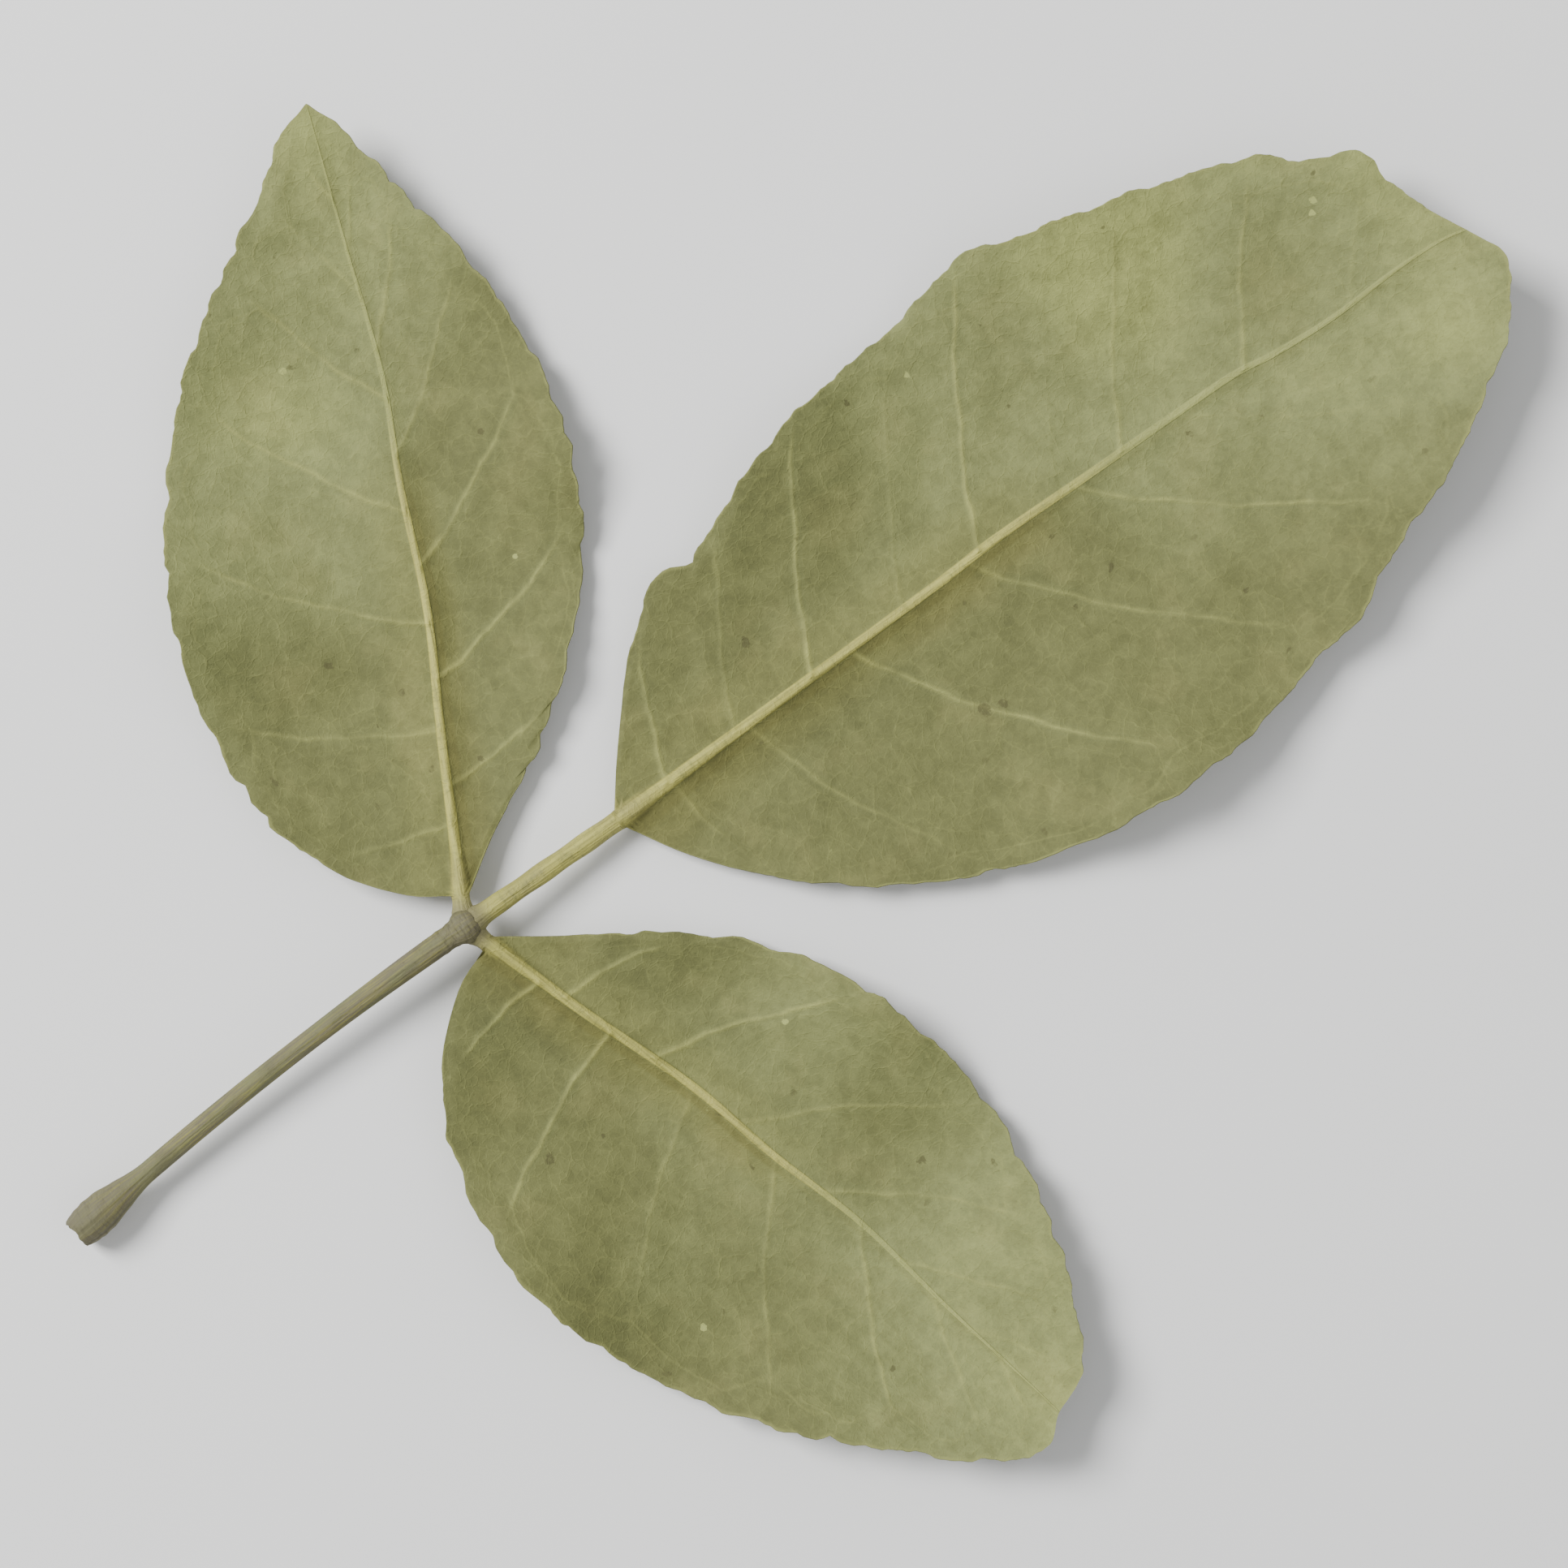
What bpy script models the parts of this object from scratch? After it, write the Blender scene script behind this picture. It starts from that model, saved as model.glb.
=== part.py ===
"""Bael leaf: one whole dried leaf of three leaflets on a petiole, lying with its pale underside up.

Each leaflet is one solid: its stalk, its midrib and its blade, with a toothed and gently waved edge. It is
jointed to the knuckle at the petiole's top. Outlines are in millimetres, measured from the base of each blade:
how far along the midrib, and how far out from it. Everything is built in metres, with +Z up and +Y from the
petiole's broken end to the tip of the end leaflet.

Run it in Blender 4.5 from the text editor, or with blender --background --python part.py.
"""

import math
from dataclasses import dataclass

import bpy
import numpy as np
from mathutils import Vector

MM = 0.001

# The knuckle where the three leaflets meet the petiole
KNUCKLE_RADIUS = 1.25
KNUCKLE_HEIGHT = 3.3
JOINT_GAP = 0.3

# The petiole, from the knuckle back to the swollen end that sat on the twig
PETIOLE_LENGTH = 35.0
PETIOLE_RADIUS = 0.76
PETIOLE_NECK_EXTRA = 0.14
PETIOLE_BASE_RADIUS = 1.45
PETIOLE_BREAK_TAPER = 0.16
PETIOLE_BASE_HEIGHT = 2.0
PETIOLE_BOW = 2.2
PETIOLE_RINGS = 30
PETIOLE_SIDES = 12
KNUCKLE_ANGLES = (20.0, 35.0, 50.0, 65.0, 80.0)

# Blades: thickness, midrib, side ribs and the teeth of the edge
THICKNESS = 0.75
FLAT_DIP = 0.45
FLAT_BLEND = 0.25
MIDRIB_RISE = 0.32
SIDE_RIB_RISE = 0.16
BLADE_STEP = 1.0
STALK_STEP = 1.4
STALK_ROUND = 3.0
ACROSS = (0.0, 0.17, 0.36, 0.57, 0.79, 1.0)
STALK_ANGLES = (0.0, 18.0, 34.0, 48.0, 60.0, 71.0, 80.0)
MIDDLE = len(ACROSS)
EVEN_SHARE = 0.25
OUTLINE_STEPS = 24

PALE_UNDERSIDE = (0.300, 0.300, 0.150)
BROWN_STALK = (0.235, 0.190, 0.115)
BLADE_ROUGHNESS = 0.72
STALK_ROUGHNESS = 0.7


@dataclass
class Half:
    """One side of a blade: its outline, how far its side ribs sweep forward, its teeth and its waves."""

    outline: tuple
    ribs: tuple
    sweep: float
    arch: float
    tooth_pitch: float
    tooth_depth: float
    lift: float
    wave: float
    wave_length: float
    wave_start: float
    tip_lift: float = 0.0


@dataclass
class Leaflet:
    """A leaflet: how it is turned from the leaf's own line, its stalk, its midrib and its two halves."""

    name: str
    turn: float
    stalk: float
    stalk_radius: float
    tip_radius: float
    midrib_bow: float
    rest: float
    tip_rise: float
    left: Half
    right: Half

    @property
    def length(self):
        return self.left.outline[-1][0]


TERMINAL = Leaflet(
    name="terminal_leaflet",
    turn=0.0,
    stalk=13.0,
    stalk_radius=0.72,
    tip_radius=0.15,
    midrib_bow=0.8,
    rest=47.0,
    tip_rise=6.2,
    left=Half(
        outline=(
            (0.0, 0.7),
            (3.4, 4.6),
            (8.0, 10.0),
            (12.2, 12.6),
            (16.3, 12.4),
            (22.0, 14.6),
            (30.3, 17.1),
            (37.1, 18.4),
            (42.2, 18.7),
            (49.7, 16.8),
            (55.5, 15.0),
            (61.0, 13.2),
            (65.0, 10.2),
            (68.4, 7.8),
            (69.6, 3.9),
            (71.0, 0.0),
        ),
        ribs=(8.0, 17.0, 25.0, 32.0, 38.5, 44.5, 54.0, 62.0),
        sweep=1.7,
        arch=0.06,
        tooth_pitch=3.4,
        tooth_depth=0.28,
        lift=3.8,
        wave=1.3,
        wave_length=25.0,
        wave_start=0.35,
    ),
    right=Half(
        outline=(
            (0.0, 0.7),
            (2.6, 4.9),
            (6.4, 9.3),
            (11.5, 13.6),
            (17.5, 17.0),
            (24.5, 19.5),
            (32.0, 20.6),
            (39.5, 20.4),
            (46.2, 18.8),
            (51.7, 17.4),
            (57.4, 14.5),
            (62.8, 12.3),
            (67.1, 9.2),
            (71.0, 5.8),
            (72.1, 2.8),
            (71.0, 0.0),
        ),
        ribs=(11.0, 20.0, 30.0, 39.0, 48.0, 56.5, 64.0),
        sweep=2.8,
        arch=0.12,
        tooth_pitch=3.2,
        tooth_depth=0.28,
        lift=4.3,
        wave=1.4,
        wave_length=29.0,
        wave_start=0.1,
        tip_lift=2.2,
    ),
)

LEFT = Leaflet(
    name="left_leaflet",
    turn=66.0,
    stalk=2.2,
    stalk_radius=0.62,
    tip_radius=0.14,
    midrib_bow=-1.3,
    rest=29.0,
    tip_rise=5.6,
    left=Half(
        outline=(
            (0.0, 0.6),
            (0.7, 3.8),
            (3.2, 8.2),
            (8.0, 12.3),
            (15.0, 15.0),
            (23.0, 15.8),
            (31.0, 14.9),
            (38.5, 12.2),
            (45.0, 8.3),
            (50.0, 4.5),
            (53.6, 2.2),
            (55.5, 0.0),
        ),
        ribs=(5.0, 11.5, 19.0, 27.0, 35.0, 42.5, 49.0),
        sweep=2.0,
        arch=0.1,
        tooth_pitch=3.0,
        tooth_depth=0.4,
        lift=3.5,
        wave=1.4,
        wave_length=21.0,
        wave_start=0.2,
    ),
    right=Half(
        outline=(
            (0.0, 0.6),
            (3.8, 3.0),
            (8.8, 6.8),
            (14.5, 10.2),
            (21.5, 12.6),
            (29.0, 13.2),
            (36.5, 11.8),
            (43.5, 8.6),
            (49.0, 4.8),
            (53.0, 2.3),
            (55.5, 0.0),
        ),
        ribs=(7.5, 15.0, 23.0, 31.0, 38.5, 45.5),
        sweep=2.3,
        arch=0.1,
        tooth_pitch=3.1,
        tooth_depth=0.4,
        lift=2.9,
        wave=1.1,
        wave_length=18.0,
        wave_start=0.6,
        tip_lift=1.8,
    ),
)

RIGHT = Leaflet(
    name="right_leaflet",
    turn=-74.0,
    stalk=2.0,
    stalk_radius=0.62,
    tip_radius=0.15,
    midrib_bow=1.1,
    rest=28.0,
    tip_rise=5.0,
    left=Half(
        outline=(
            (0.0, 0.6),
            (3.4, 3.4),
            (8.2, 7.6),
            (14.0, 11.4),
            (21.0, 13.9),
            (28.5, 14.2),
            (35.5, 12.7),
            (42.0, 9.8),
            (47.0, 6.6),
            (50.4, 3.2),
            (51.0, 0.0),
        ),
        ribs=(6.5, 14.0, 21.5, 29.0, 36.5, 43.0),
        sweep=2.2,
        arch=0.1,
        tooth_pitch=3.2,
        tooth_depth=0.38,
        lift=3.1,
        wave=1.3,
        wave_length=20.0,
        wave_start=0.05,
    ),
    right=Half(
        outline=(
            (0.0, 0.6),
            (0.5, 4.0),
            (3.2, 9.0),
            (8.4, 13.4),
            (15.5, 16.2),
            (23.0, 16.8),
            (30.5, 15.6),
            (37.5, 12.8),
            (44.0, 9.2),
            (49.0, 6.0),
            (51.7, 2.6),
            (51.0, 0.0),
        ),
        ribs=(4.5, 10.5, 17.5, 25.0, 32.5, 39.5, 45.5),
        sweep=2.0,
        arch=0.1,
        tooth_pitch=3.3,
        tooth_depth=0.38,
        lift=3.6,
        wave=1.4,
        wave_length=23.0,
        wave_start=0.45,
        tip_lift=2.0,
    ),
)

LEAFLETS = (TERMINAL, LEFT, RIGHT)


def blend(low, high, value):
    """0 below low, 1 above high, and an even slide between them."""
    share = np.clip((value - low) / (high - low), 0.0, 1.0)
    return share * share * (3.0 - 2.0 * share)


def smooth_line(points):
    """A curve through the points, as a dense row of places."""
    knots = np.array(points)
    knots = np.vstack((2 * knots[0] - knots[1], knots, 2 * knots[-1] - knots[-2]))
    places = []
    for index in range(1, len(knots) - 2):
        before, start, end, after = knots[index - 1 : index + 3]
        for step in range(OUTLINE_STEPS):
            u = step / OUTLINE_STEPS
            turn = (end - before) * u + (2 * before - 5 * start + 4 * end - after) * u**2
            places.append(start + 0.5 * (turn + (3 * start - before - 3 * end + after) * u**3))
    places.append(knots[-2])
    return np.array(places)


def edge_places(half, shares):
    """Places on the toothed edge at these shares of its length, from the blade's base to its tip."""
    line = smooth_line(half.outline)
    lengths = np.concatenate(((0.0,), np.cumsum(np.hypot(*np.diff(line, axis=0).T))))
    wanted = shares * lengths[-1]
    along = np.interp(wanted, lengths, line[:, 0])
    across = np.interp(wanted, lengths, line[:, 1])
    forward = np.gradient(line, lengths, axis=0)
    ahead = np.interp(wanted, lengths, forward[:, 0])
    outward = np.interp(wanted, lengths, forward[:, 1])
    fade = blend(0.06, 0.2, shares) * blend(0.0, 0.06, 1.0 - shares)
    tooth = half.tooth_depth * fade * (np.abs(np.sin(math.pi * wanted / half.tooth_pitch)) - 0.5)
    return np.column_stack((along - outward * tooth, across + ahead * tooth))


def swept(half, share):
    """The share of the edge where the rib that leaves the midrib at this share ends."""
    return EVEN_SHARE * share + (1.0 - EVEN_SHARE) * (1.0 - (1.0 - share) ** half.sweep)


def underside(leaflet, along, across):
    """Height of the blade's lower face: down from the knuckle, flat where it rests, and up to tip and edges."""
    reach = leaflet.stalk + along
    end = leaflet.stalk + leaflet.length
    down = (KNUCKLE_HEIGHT - THICKNESS / 2 + FLAT_DIP) * np.maximum(1.0 - reach / leaflet.rest, 0.0) ** 2
    up = leaflet.tip_rise * (np.maximum(reach - leaflet.rest, 0.0) / (end - leaflet.rest)) ** 2
    height = down + up - FLAT_DIP
    for half, side in ((leaflet.left, 1.0), (leaflet.right, -1.0)):
        width = max(point[1] for point in half.outline)
        out = np.maximum(across * side, 0.0) / width
        near_tip = blend(0.5, 1.0, along / leaflet.length)
        wave = half.wave * np.sin(2 * math.pi * (along / half.wave_length + half.wave_start))
        height = height + out**2 * (half.lift + half.tip_lift * near_tip + wave * blend(0.0, 8.0, along))
    near = np.clip(height, -FLAT_BLEND, FLAT_BLEND)
    soft = (near + FLAT_BLEND) ** 2 / (4 * FLAT_BLEND)
    return np.where(height > FLAT_BLEND, height, soft)


def half_row(leaflet, half, side, share, edge):
    """Places from the midrib to the edge on one side of a blade, along the sweep of its side ribs."""
    along = share * leaflet.length
    middle = leaflet.midrib_bow * 4.0 * share * (1.0 - share)
    radius = leaflet.stalk_radius + (leaflet.tip_radius - leaflet.stalk_radius) * share**0.7
    start = np.array((along, middle))
    end = np.array((edge[0], side * edge[1]))
    bend = (start + end) / 2 - np.array((half.arch * np.hypot(*(end - start)), 0.0))
    foot = min(0.35, radius / np.hypot(*(end - start)))
    row = [start]
    for step in ACROSS:
        out = foot + (1.0 - foot) * step
        row.append((1 - out) ** 2 * start + 2 * out * (1 - out) * bend + out**2 * end)
    return row


def blade_rows(leaflet):
    """Rows of upper and lower places across the blade, from its base to just short of its tip."""
    count = round(leaflet.length / BLADE_STEP)
    shares = np.arange(count) / count
    edges = {}
    for name, half in (("left", leaflet.left), ("right", leaflet.right)):
        edges[name] = edge_places(half, swept(half, shares))
    rows = []
    for index, share in enumerate(shares):
        left = half_row(leaflet, leaflet.left, 1.0, share, edges["left"][index])
        right = half_row(leaflet, leaflet.right, -1.0, share, edges["right"][index])
        flat = np.array(left[::-1] + right[1:])
        low = underside(leaflet, flat[:, 0], flat[:, 1])
        rise = np.zeros(len(flat))
        rise[MIDDLE] = MIDRIB_RISE * (1.0 - 0.6 * share)
        for half, side in ((leaflet.left, -1), (leaflet.right, 1)):
            on_rib = index in {round(rib / leaflet.length * count) for rib in half.ribs}
            for step, out in enumerate(ACROSS[:-1], 1):
                rise[MIDDLE + side * step] = SIDE_RIB_RISE * on_rib * (1.0 - 0.5 * out)
        rows.append((flat, low, low + THICKNESS + rise))
    return rows


def round_row(leaflet, along):
    """The round section of the stalk, as upper and lower places in the same order as a blade's row."""
    angles = np.radians(STALK_ANGLES)
    turns = np.concatenate((-angles[::-1], angles[1:]))
    across = -leaflet.stalk_radius * np.sin(turns)
    flat = np.column_stack((np.full(len(turns), along), across))
    middle = underside(leaflet, np.array((along,)), np.array((0.0,)))[0] + THICKNESS / 2
    half = leaflet.stalk_radius * np.cos(turns)
    return flat, middle - half, middle + half


def leaflet_rows(leaflet):
    """All rows of a leaflet: a round stalk that runs out into the blade over its first few millimetres."""
    first = KNUCKLE_RADIUS + JOINT_GAP - leaflet.stalk
    steps = max(2, round(-first / STALK_STEP)) if first < 0 else 1
    rows = [round_row(leaflet, first * (1.0 - step / steps)) for step in range(steps)]
    for flat, low, high in blade_rows(leaflet):
        along = flat[MIDDLE, 0]
        share = float(blend(0.0, STALK_ROUND, along))
        _, round_low, round_high = round_row(leaflet, along)
        rows.append((flat, round_low + (low - round_low) * share, round_high + (high - round_high) * share))
    return rows


def place(flat, height):
    """A place in metres, with the leaflet's midrib along +Y and its left side at -X."""
    return (-flat[1] * MM, flat[0] * MM, height * MM)


def new_object(name, vertices, faces, colour, roughness):
    """A closed smooth mesh with its own material."""
    mesh = bpy.data.meshes.new(name)
    mesh.from_pydata(vertices, [], faces)
    mesh.validate()
    mesh.shade_smooth()
    mesh.set_sharp_from_angle(angle=math.radians(50))
    material = bpy.data.materials.new(name)
    material.use_nodes = True
    shader = material.node_tree.nodes["Principled BSDF"]
    shader.inputs["Base Color"].default_value = (*colour, 1.0)
    shader.inputs["Roughness"].default_value = roughness
    shader.inputs["Metallic"].default_value = 0.0
    mesh.materials.append(material)
    made = bpy.data.objects.new(name, mesh)
    bpy.context.scene.collection.objects.link(made)
    return made


def make_leaflet(leaflet):
    """One leaflet as a closed solid, its faces split alike above and below."""
    rows = leaflet_rows(leaflet)
    width = len(rows[0][0])
    vertices = []
    for flat, low, high in rows:
        vertices += [place(flat[i] + (leaflet.stalk, 0.0), high[i]) for i in range(width)]
        vertices += [place(flat[i] + (leaflet.stalk, 0.0), low[i]) for i in range(width)]
    tip = np.array((leaflet.length, 0.0))
    tip_low = float(underside(leaflet, tip[:1], tip[1:])[0])
    tip_top = len(vertices)
    vertices.append(place(tip + (leaflet.stalk, 0.0), tip_low + THICKNESS))
    vertices.append(place(tip + (leaflet.stalk, 0.0), tip_low))
    ring = 2 * width
    faces = [tuple(range(width - 1, -1, -1)) + tuple(range(width, ring))]
    for row in range(len(rows) - 1):
        start = row * ring
        ahead = start + ring
        for i in range(width - 1):
            top = (start + i, start + i + 1, ahead + i, ahead + i + 1)
            low = tuple(corner + width for corner in top)
            split = i < MIDDLE
            for corners in ((0, 1, 2), (1, 3, 2)) if split else ((0, 3, 2), (0, 1, 3)):
                faces.append(tuple(top[c] for c in corners))
                faces.append(tuple(low[c] for c in corners[::-1]))
        for side, flip in ((0, True), (width - 1, False)):
            rim = (start + side, start + side + width, ahead + side + width, ahead + side)
            for corners in ((0, 1, 2), (0, 2, 3)):
                face = tuple(rim[c] for c in corners)
                faces.append(face[::-1] if flip else face)
    last = (len(rows) - 1) * ring
    for i in range(width - 1):
        faces.append((last + i + 1, tip_top, last + i))
        faces.append((last + width + i, tip_top + 1, last + width + i + 1))
    faces.append((tip_top, tip_top + 1, last + width, last))
    faces.append((last + width - 1, last + ring - 1, tip_top + 1, tip_top))
    made = new_object(leaflet.name, vertices, faces, PALE_UNDERSIDE, BLADE_ROUGHNESS)
    made.rotation_euler.z = math.radians(leaflet.turn)
    return made


def petiole_radius(back):
    """Radius at a distance back from the knuckle's centre: a ball, a slim shaft and a swollen, broken end."""
    ball = math.sqrt(max(KNUCKLE_RADIUS**2 - back**2, 0.0))
    if back <= 0.0:
        return ball
    far = back / PETIOLE_LENGTH
    shaft = PETIOLE_RADIUS + PETIOLE_NECK_EXTRA * (1.0 - float(blend(0.0, 0.4, far)))
    shaft += (PETIOLE_BASE_RADIUS - PETIOLE_RADIUS) * float(blend(0.8, 0.94, far))
    shaft -= PETIOLE_BREAK_TAPER * float(blend(0.95, 1.0, far))
    return max(ball, shaft)


def make_petiole():
    """The petiole: a domed knuckle, a bowed shaft and a swollen end, lofted ring by ring."""
    dome = [-KNUCKLE_RADIUS * math.cos(math.radians(angle)) for angle in KNUCKLE_ANGLES]
    vertices = []
    backs = dome + list(np.linspace(0.0, PETIOLE_LENGTH, PETIOLE_RINGS))
    for back in backs:
        far = max(back, 0.0) / PETIOLE_LENGTH
        middle = Vector((PETIOLE_BOW * far**2, -back, 0.0))
        middle.z = KNUCKLE_HEIGHT + (PETIOLE_BASE_HEIGHT - KNUCKLE_HEIGHT) * float(blend(0.0, 1.0, far))
        radius = petiole_radius(back)
        for side in range(PETIOLE_SIDES):
            angle = 2 * math.pi * side / PETIOLE_SIDES
            spot = middle + Vector((math.cos(angle), 0.0, math.sin(angle))) * radius
            vertices.append(spot * MM)
    rings = len(backs)
    faces = [tuple(range(PETIOLE_SIDES - 1, -1, -1))]
    for ring in range(rings - 1):
        for side in range(PETIOLE_SIDES):
            following = (side + 1) % PETIOLE_SIDES
            start = ring * PETIOLE_SIDES
            ahead = start + PETIOLE_SIDES
            faces.append((start + side, start + following, ahead + following, ahead + side))
    end = (rings - 1) * PETIOLE_SIDES
    faces.append(tuple(end + side for side in range(PETIOLE_SIDES)))
    return new_object("petiole", vertices, faces, BROWN_STALK, STALK_ROUGHNESS)


def centre_footprint(pieces, joint):
    """Moves the joint so that the leaf's footprint is centred on the origin."""
    bpy.context.view_layer.update()
    corners = [piece.matrix_world @ vertex.co for piece in pieces for vertex in piece.data.vertices]
    for axis in (0, 1):
        values = [corner[axis] for corner in corners]
        joint.location[axis] = -(min(values) + max(values)) / 2


def main():
    """Clears the scene and builds the four pieces on the leaf's joint."""
    for old in list(bpy.data.objects):
        bpy.data.objects.remove(old, do_unlink=True)
    joint = bpy.data.objects.new("leaf_joint", None)
    bpy.context.scene.collection.objects.link(joint)
    pieces = [make_petiole()] + [make_leaflet(leaflet) for leaflet in LEAFLETS]
    for piece in pieces:
        piece.parent = joint
    centre_footprint(pieces, joint)


main()
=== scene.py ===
"""A dried bael leaf: three leaflets on a petiole, lying with the pale ribbed underside up.

Each leaflet starts as a grid that is wrapped into a closed tube: flat and wide in the blade, round in the
stalk. Its rows follow the side ribs, so that the ribs, the midrib and the toothed edge are in the mesh.
The form is worked out in millimetres. A place on a blade is given along its midrib, from the blade's base,
and across it, to the left. Meshes, lamps and the camera are in metres.
"""

import math
from dataclasses import dataclass
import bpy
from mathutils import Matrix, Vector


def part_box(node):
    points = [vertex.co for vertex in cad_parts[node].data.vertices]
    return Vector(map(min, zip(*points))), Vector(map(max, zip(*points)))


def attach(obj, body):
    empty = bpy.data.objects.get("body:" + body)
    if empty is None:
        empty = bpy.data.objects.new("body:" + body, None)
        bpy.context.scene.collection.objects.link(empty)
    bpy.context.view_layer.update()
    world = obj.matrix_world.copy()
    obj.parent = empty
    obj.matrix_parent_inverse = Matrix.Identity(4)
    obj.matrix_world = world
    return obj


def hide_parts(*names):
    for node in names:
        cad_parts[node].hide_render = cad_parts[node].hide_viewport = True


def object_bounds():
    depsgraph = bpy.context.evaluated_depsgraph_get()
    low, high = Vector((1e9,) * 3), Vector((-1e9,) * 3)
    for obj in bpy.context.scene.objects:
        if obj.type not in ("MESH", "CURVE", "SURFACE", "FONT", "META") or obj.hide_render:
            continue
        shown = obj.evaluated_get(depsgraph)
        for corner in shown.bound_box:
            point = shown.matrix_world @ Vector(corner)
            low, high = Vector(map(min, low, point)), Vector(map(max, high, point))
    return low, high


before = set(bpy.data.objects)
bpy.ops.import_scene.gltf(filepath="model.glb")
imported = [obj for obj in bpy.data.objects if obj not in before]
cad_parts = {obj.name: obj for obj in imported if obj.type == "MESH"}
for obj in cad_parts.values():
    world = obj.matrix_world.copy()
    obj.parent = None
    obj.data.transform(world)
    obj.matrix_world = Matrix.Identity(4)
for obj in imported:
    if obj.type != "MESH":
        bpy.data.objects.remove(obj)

from types import SimpleNamespace

import bmesh
import bpy
import numpy as np
from bpy.props import FloatProperty, FloatVectorProperty, PointerProperty
from mathutils import Vector

CAD_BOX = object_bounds()
PETIOLE_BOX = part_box("petiole")

bl_info = {
    "name": "Dried bael leaf",
    "version": (1, 0, 0),
    "blender": (4, 5, 0),
    "location": "View3D > Sidebar > Leaf",
    "description": "Builds a dried bael leaf of three leaflets on a petiole",
    "category": "Add Mesh",
}

MM = 0.001

# The knuckle: where it is follows from the petiole's box
KNUCKLE_RADIUS = 1.25
KNUCKLE_HEIGHT = 3.3
KNUCKLE_FIRST_RING = math.cos(math.radians(20.0))
KNUCKLE_ROWS = 24
JOINT = Vector(
    (
        PETIOLE_BOX[0].x + KNUCKLE_RADIUS * MM,
        PETIOLE_BOX[1].y - KNUCKLE_RADIUS * KNUCKLE_FIRST_RING * MM,
        0.0,
    )
)

# The petiole, and its broken end, which slants and narrows at its rim
PETIOLE_LENGTH = 35.0
PETIOLE_RADIUS = 0.76
PETIOLE_NECK_EXTRA = 0.14
PETIOLE_BASE_RADIUS = 1.45
PETIOLE_BASE_HEIGHT = 2.0
PETIOLE_BOW = 2.2
PETIOLE_INSET = 0.04
PETIOLE_SEED = 41
PETIOLE_ROWS = 300
PETIOLE_COLUMNS = 72
PETIOLE_UNROLLED_RADIUS = 0.9
BREAK_TAPER = 0.16
BREAK_RIM_TAPER = 0.12
BREAK_SLANT = 0.36
BREAK_DOME = 0.22
BREAK_ROWS = 15

# How a blade lies: in the solid that it replaces, with a flat spot of its own
SOLID_THICKNESS = 0.75
FLAT_DIP = 0.45
FLAT_BLEND = 0.25
WAVE_RISE = 8.0
WRINKLE_RISE = 6.0
WRINKLE_LENGTHS = (13.0, 9.5, 7.5, 6.0, 4.6, 3.4, 2.5)
WRINKLE_SUM = 2.6

# How side ribs and the outline run
EVEN_SHARE = 0.25
OUTLINE_STEPS = 24
RIB_REACH = 6.0
FAR = 99.0

# The section of a blade
EDGE_BEVEL = 1.6
RIM_BULGE = 0.06
LEFT_FOLD = 6.5
RIGHT_FOLD = 2.2
THINNEST = 0.1
GROOVE_SHARE = 0.35
RIB_GROOVE_SHARE = 0.3

# The mesh of a leaflet
ROW_STEP = 0.36
RIB_OFFSETS = (-0.5, -0.32, -0.2, -0.12, -0.06, 0.0, 0.06, 0.12, 0.2, 0.32, 0.5)
SMALLEST_ROW_STEP = 0.03
MIDRIB_COLUMNS = 11
MIDRIB_REACH = 2.2
MIDRIB_REACH_LIMIT = 0.4
BLADE_COLUMNS = 34
MERGE_DISTANCE = 2e-6
SMOOTH_ANGLE = math.radians(60)
UV_SPAN = 100.0

# A leaflet's own stalk
STALK_START = 0.5
STALK_FEWEST_ROWS = 6
STALK_ROW_STEP = 0.3
STALK_EDGE_ANGLE = 80.0
STALK_ROUND = 3.5

# The values that a leaflet's mesh carries for its finish, as they are on its stalk
STALK_VALUES = {
    "midrib_gap": 0.0, "rib_gap": 9.0, "rib_power": 0.0, "rib_turn": 0.5, "edge_gap": 5.0,
    "share": 0.0, "side": 0.0, "upper": 0.0, "stalk": 1.0,
}

# Patterns of the blade's finish
WARP_SIZE = 1.0 / 0.7
WARP = 1.3
TEAR = 0.9
NET_WIDTH = 1.9
SMALL_NET_WIDTH = 0.62
GLAND_STEP = 0.7
SPECK_STEP = 5.2
WHITE = (1.0, 1.0, 1.0)
# Painted light and shade of the fold by the midrib near the base: lighter on the left half, darker and
# yellower on the right
PAINTED_LEFT_LIGHT = (1.11, 1.09, 1.03)
PAINTED_RIGHT_SHADE = (1.01, 0.97, 0.88)

# The stage: each lamp's place, to the right in the picture, up it and over the leaf, and its width
LAMPS = (("key", (-0.42, 0.20, 0.52), 0.3), ("fill", (0.5, -0.2, 0.5), 0.6))
FLOOR_WIDTH = 3.0
FLOOR_BLOT = 1000.0 / 14.0
ROOM_COLOUR = (0.98, 0.99, 1.0, 1.0)
SENSOR = 36.0
FRAME_MARGIN = 1.08


@dataclass
class Half:
    """One side of a blade.

    The outline's places are along the midrib and out from it, and ribs are where side ribs leave the midrib.
    A fan gives, for shares of the midrib, the shares of the edge where they end; without one they sweep
    forward by an even rule. Strengths say how clearly each rib shows, from 0 to 1, or else are drawn.
    """

    outline: tuple
    ribs: tuple
    sweep: float
    tooth_pitch: float
    tooth_depth: float
    lift: float
    wave: float
    wave_length: float
    wave_start: float
    arch: float = 0.1
    tip_lift: float = 0.0
    rib_stop: float = 1.6
    rib_fade: float = 2.6
    fan: tuple = ()
    strengths: tuple = ()


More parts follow.
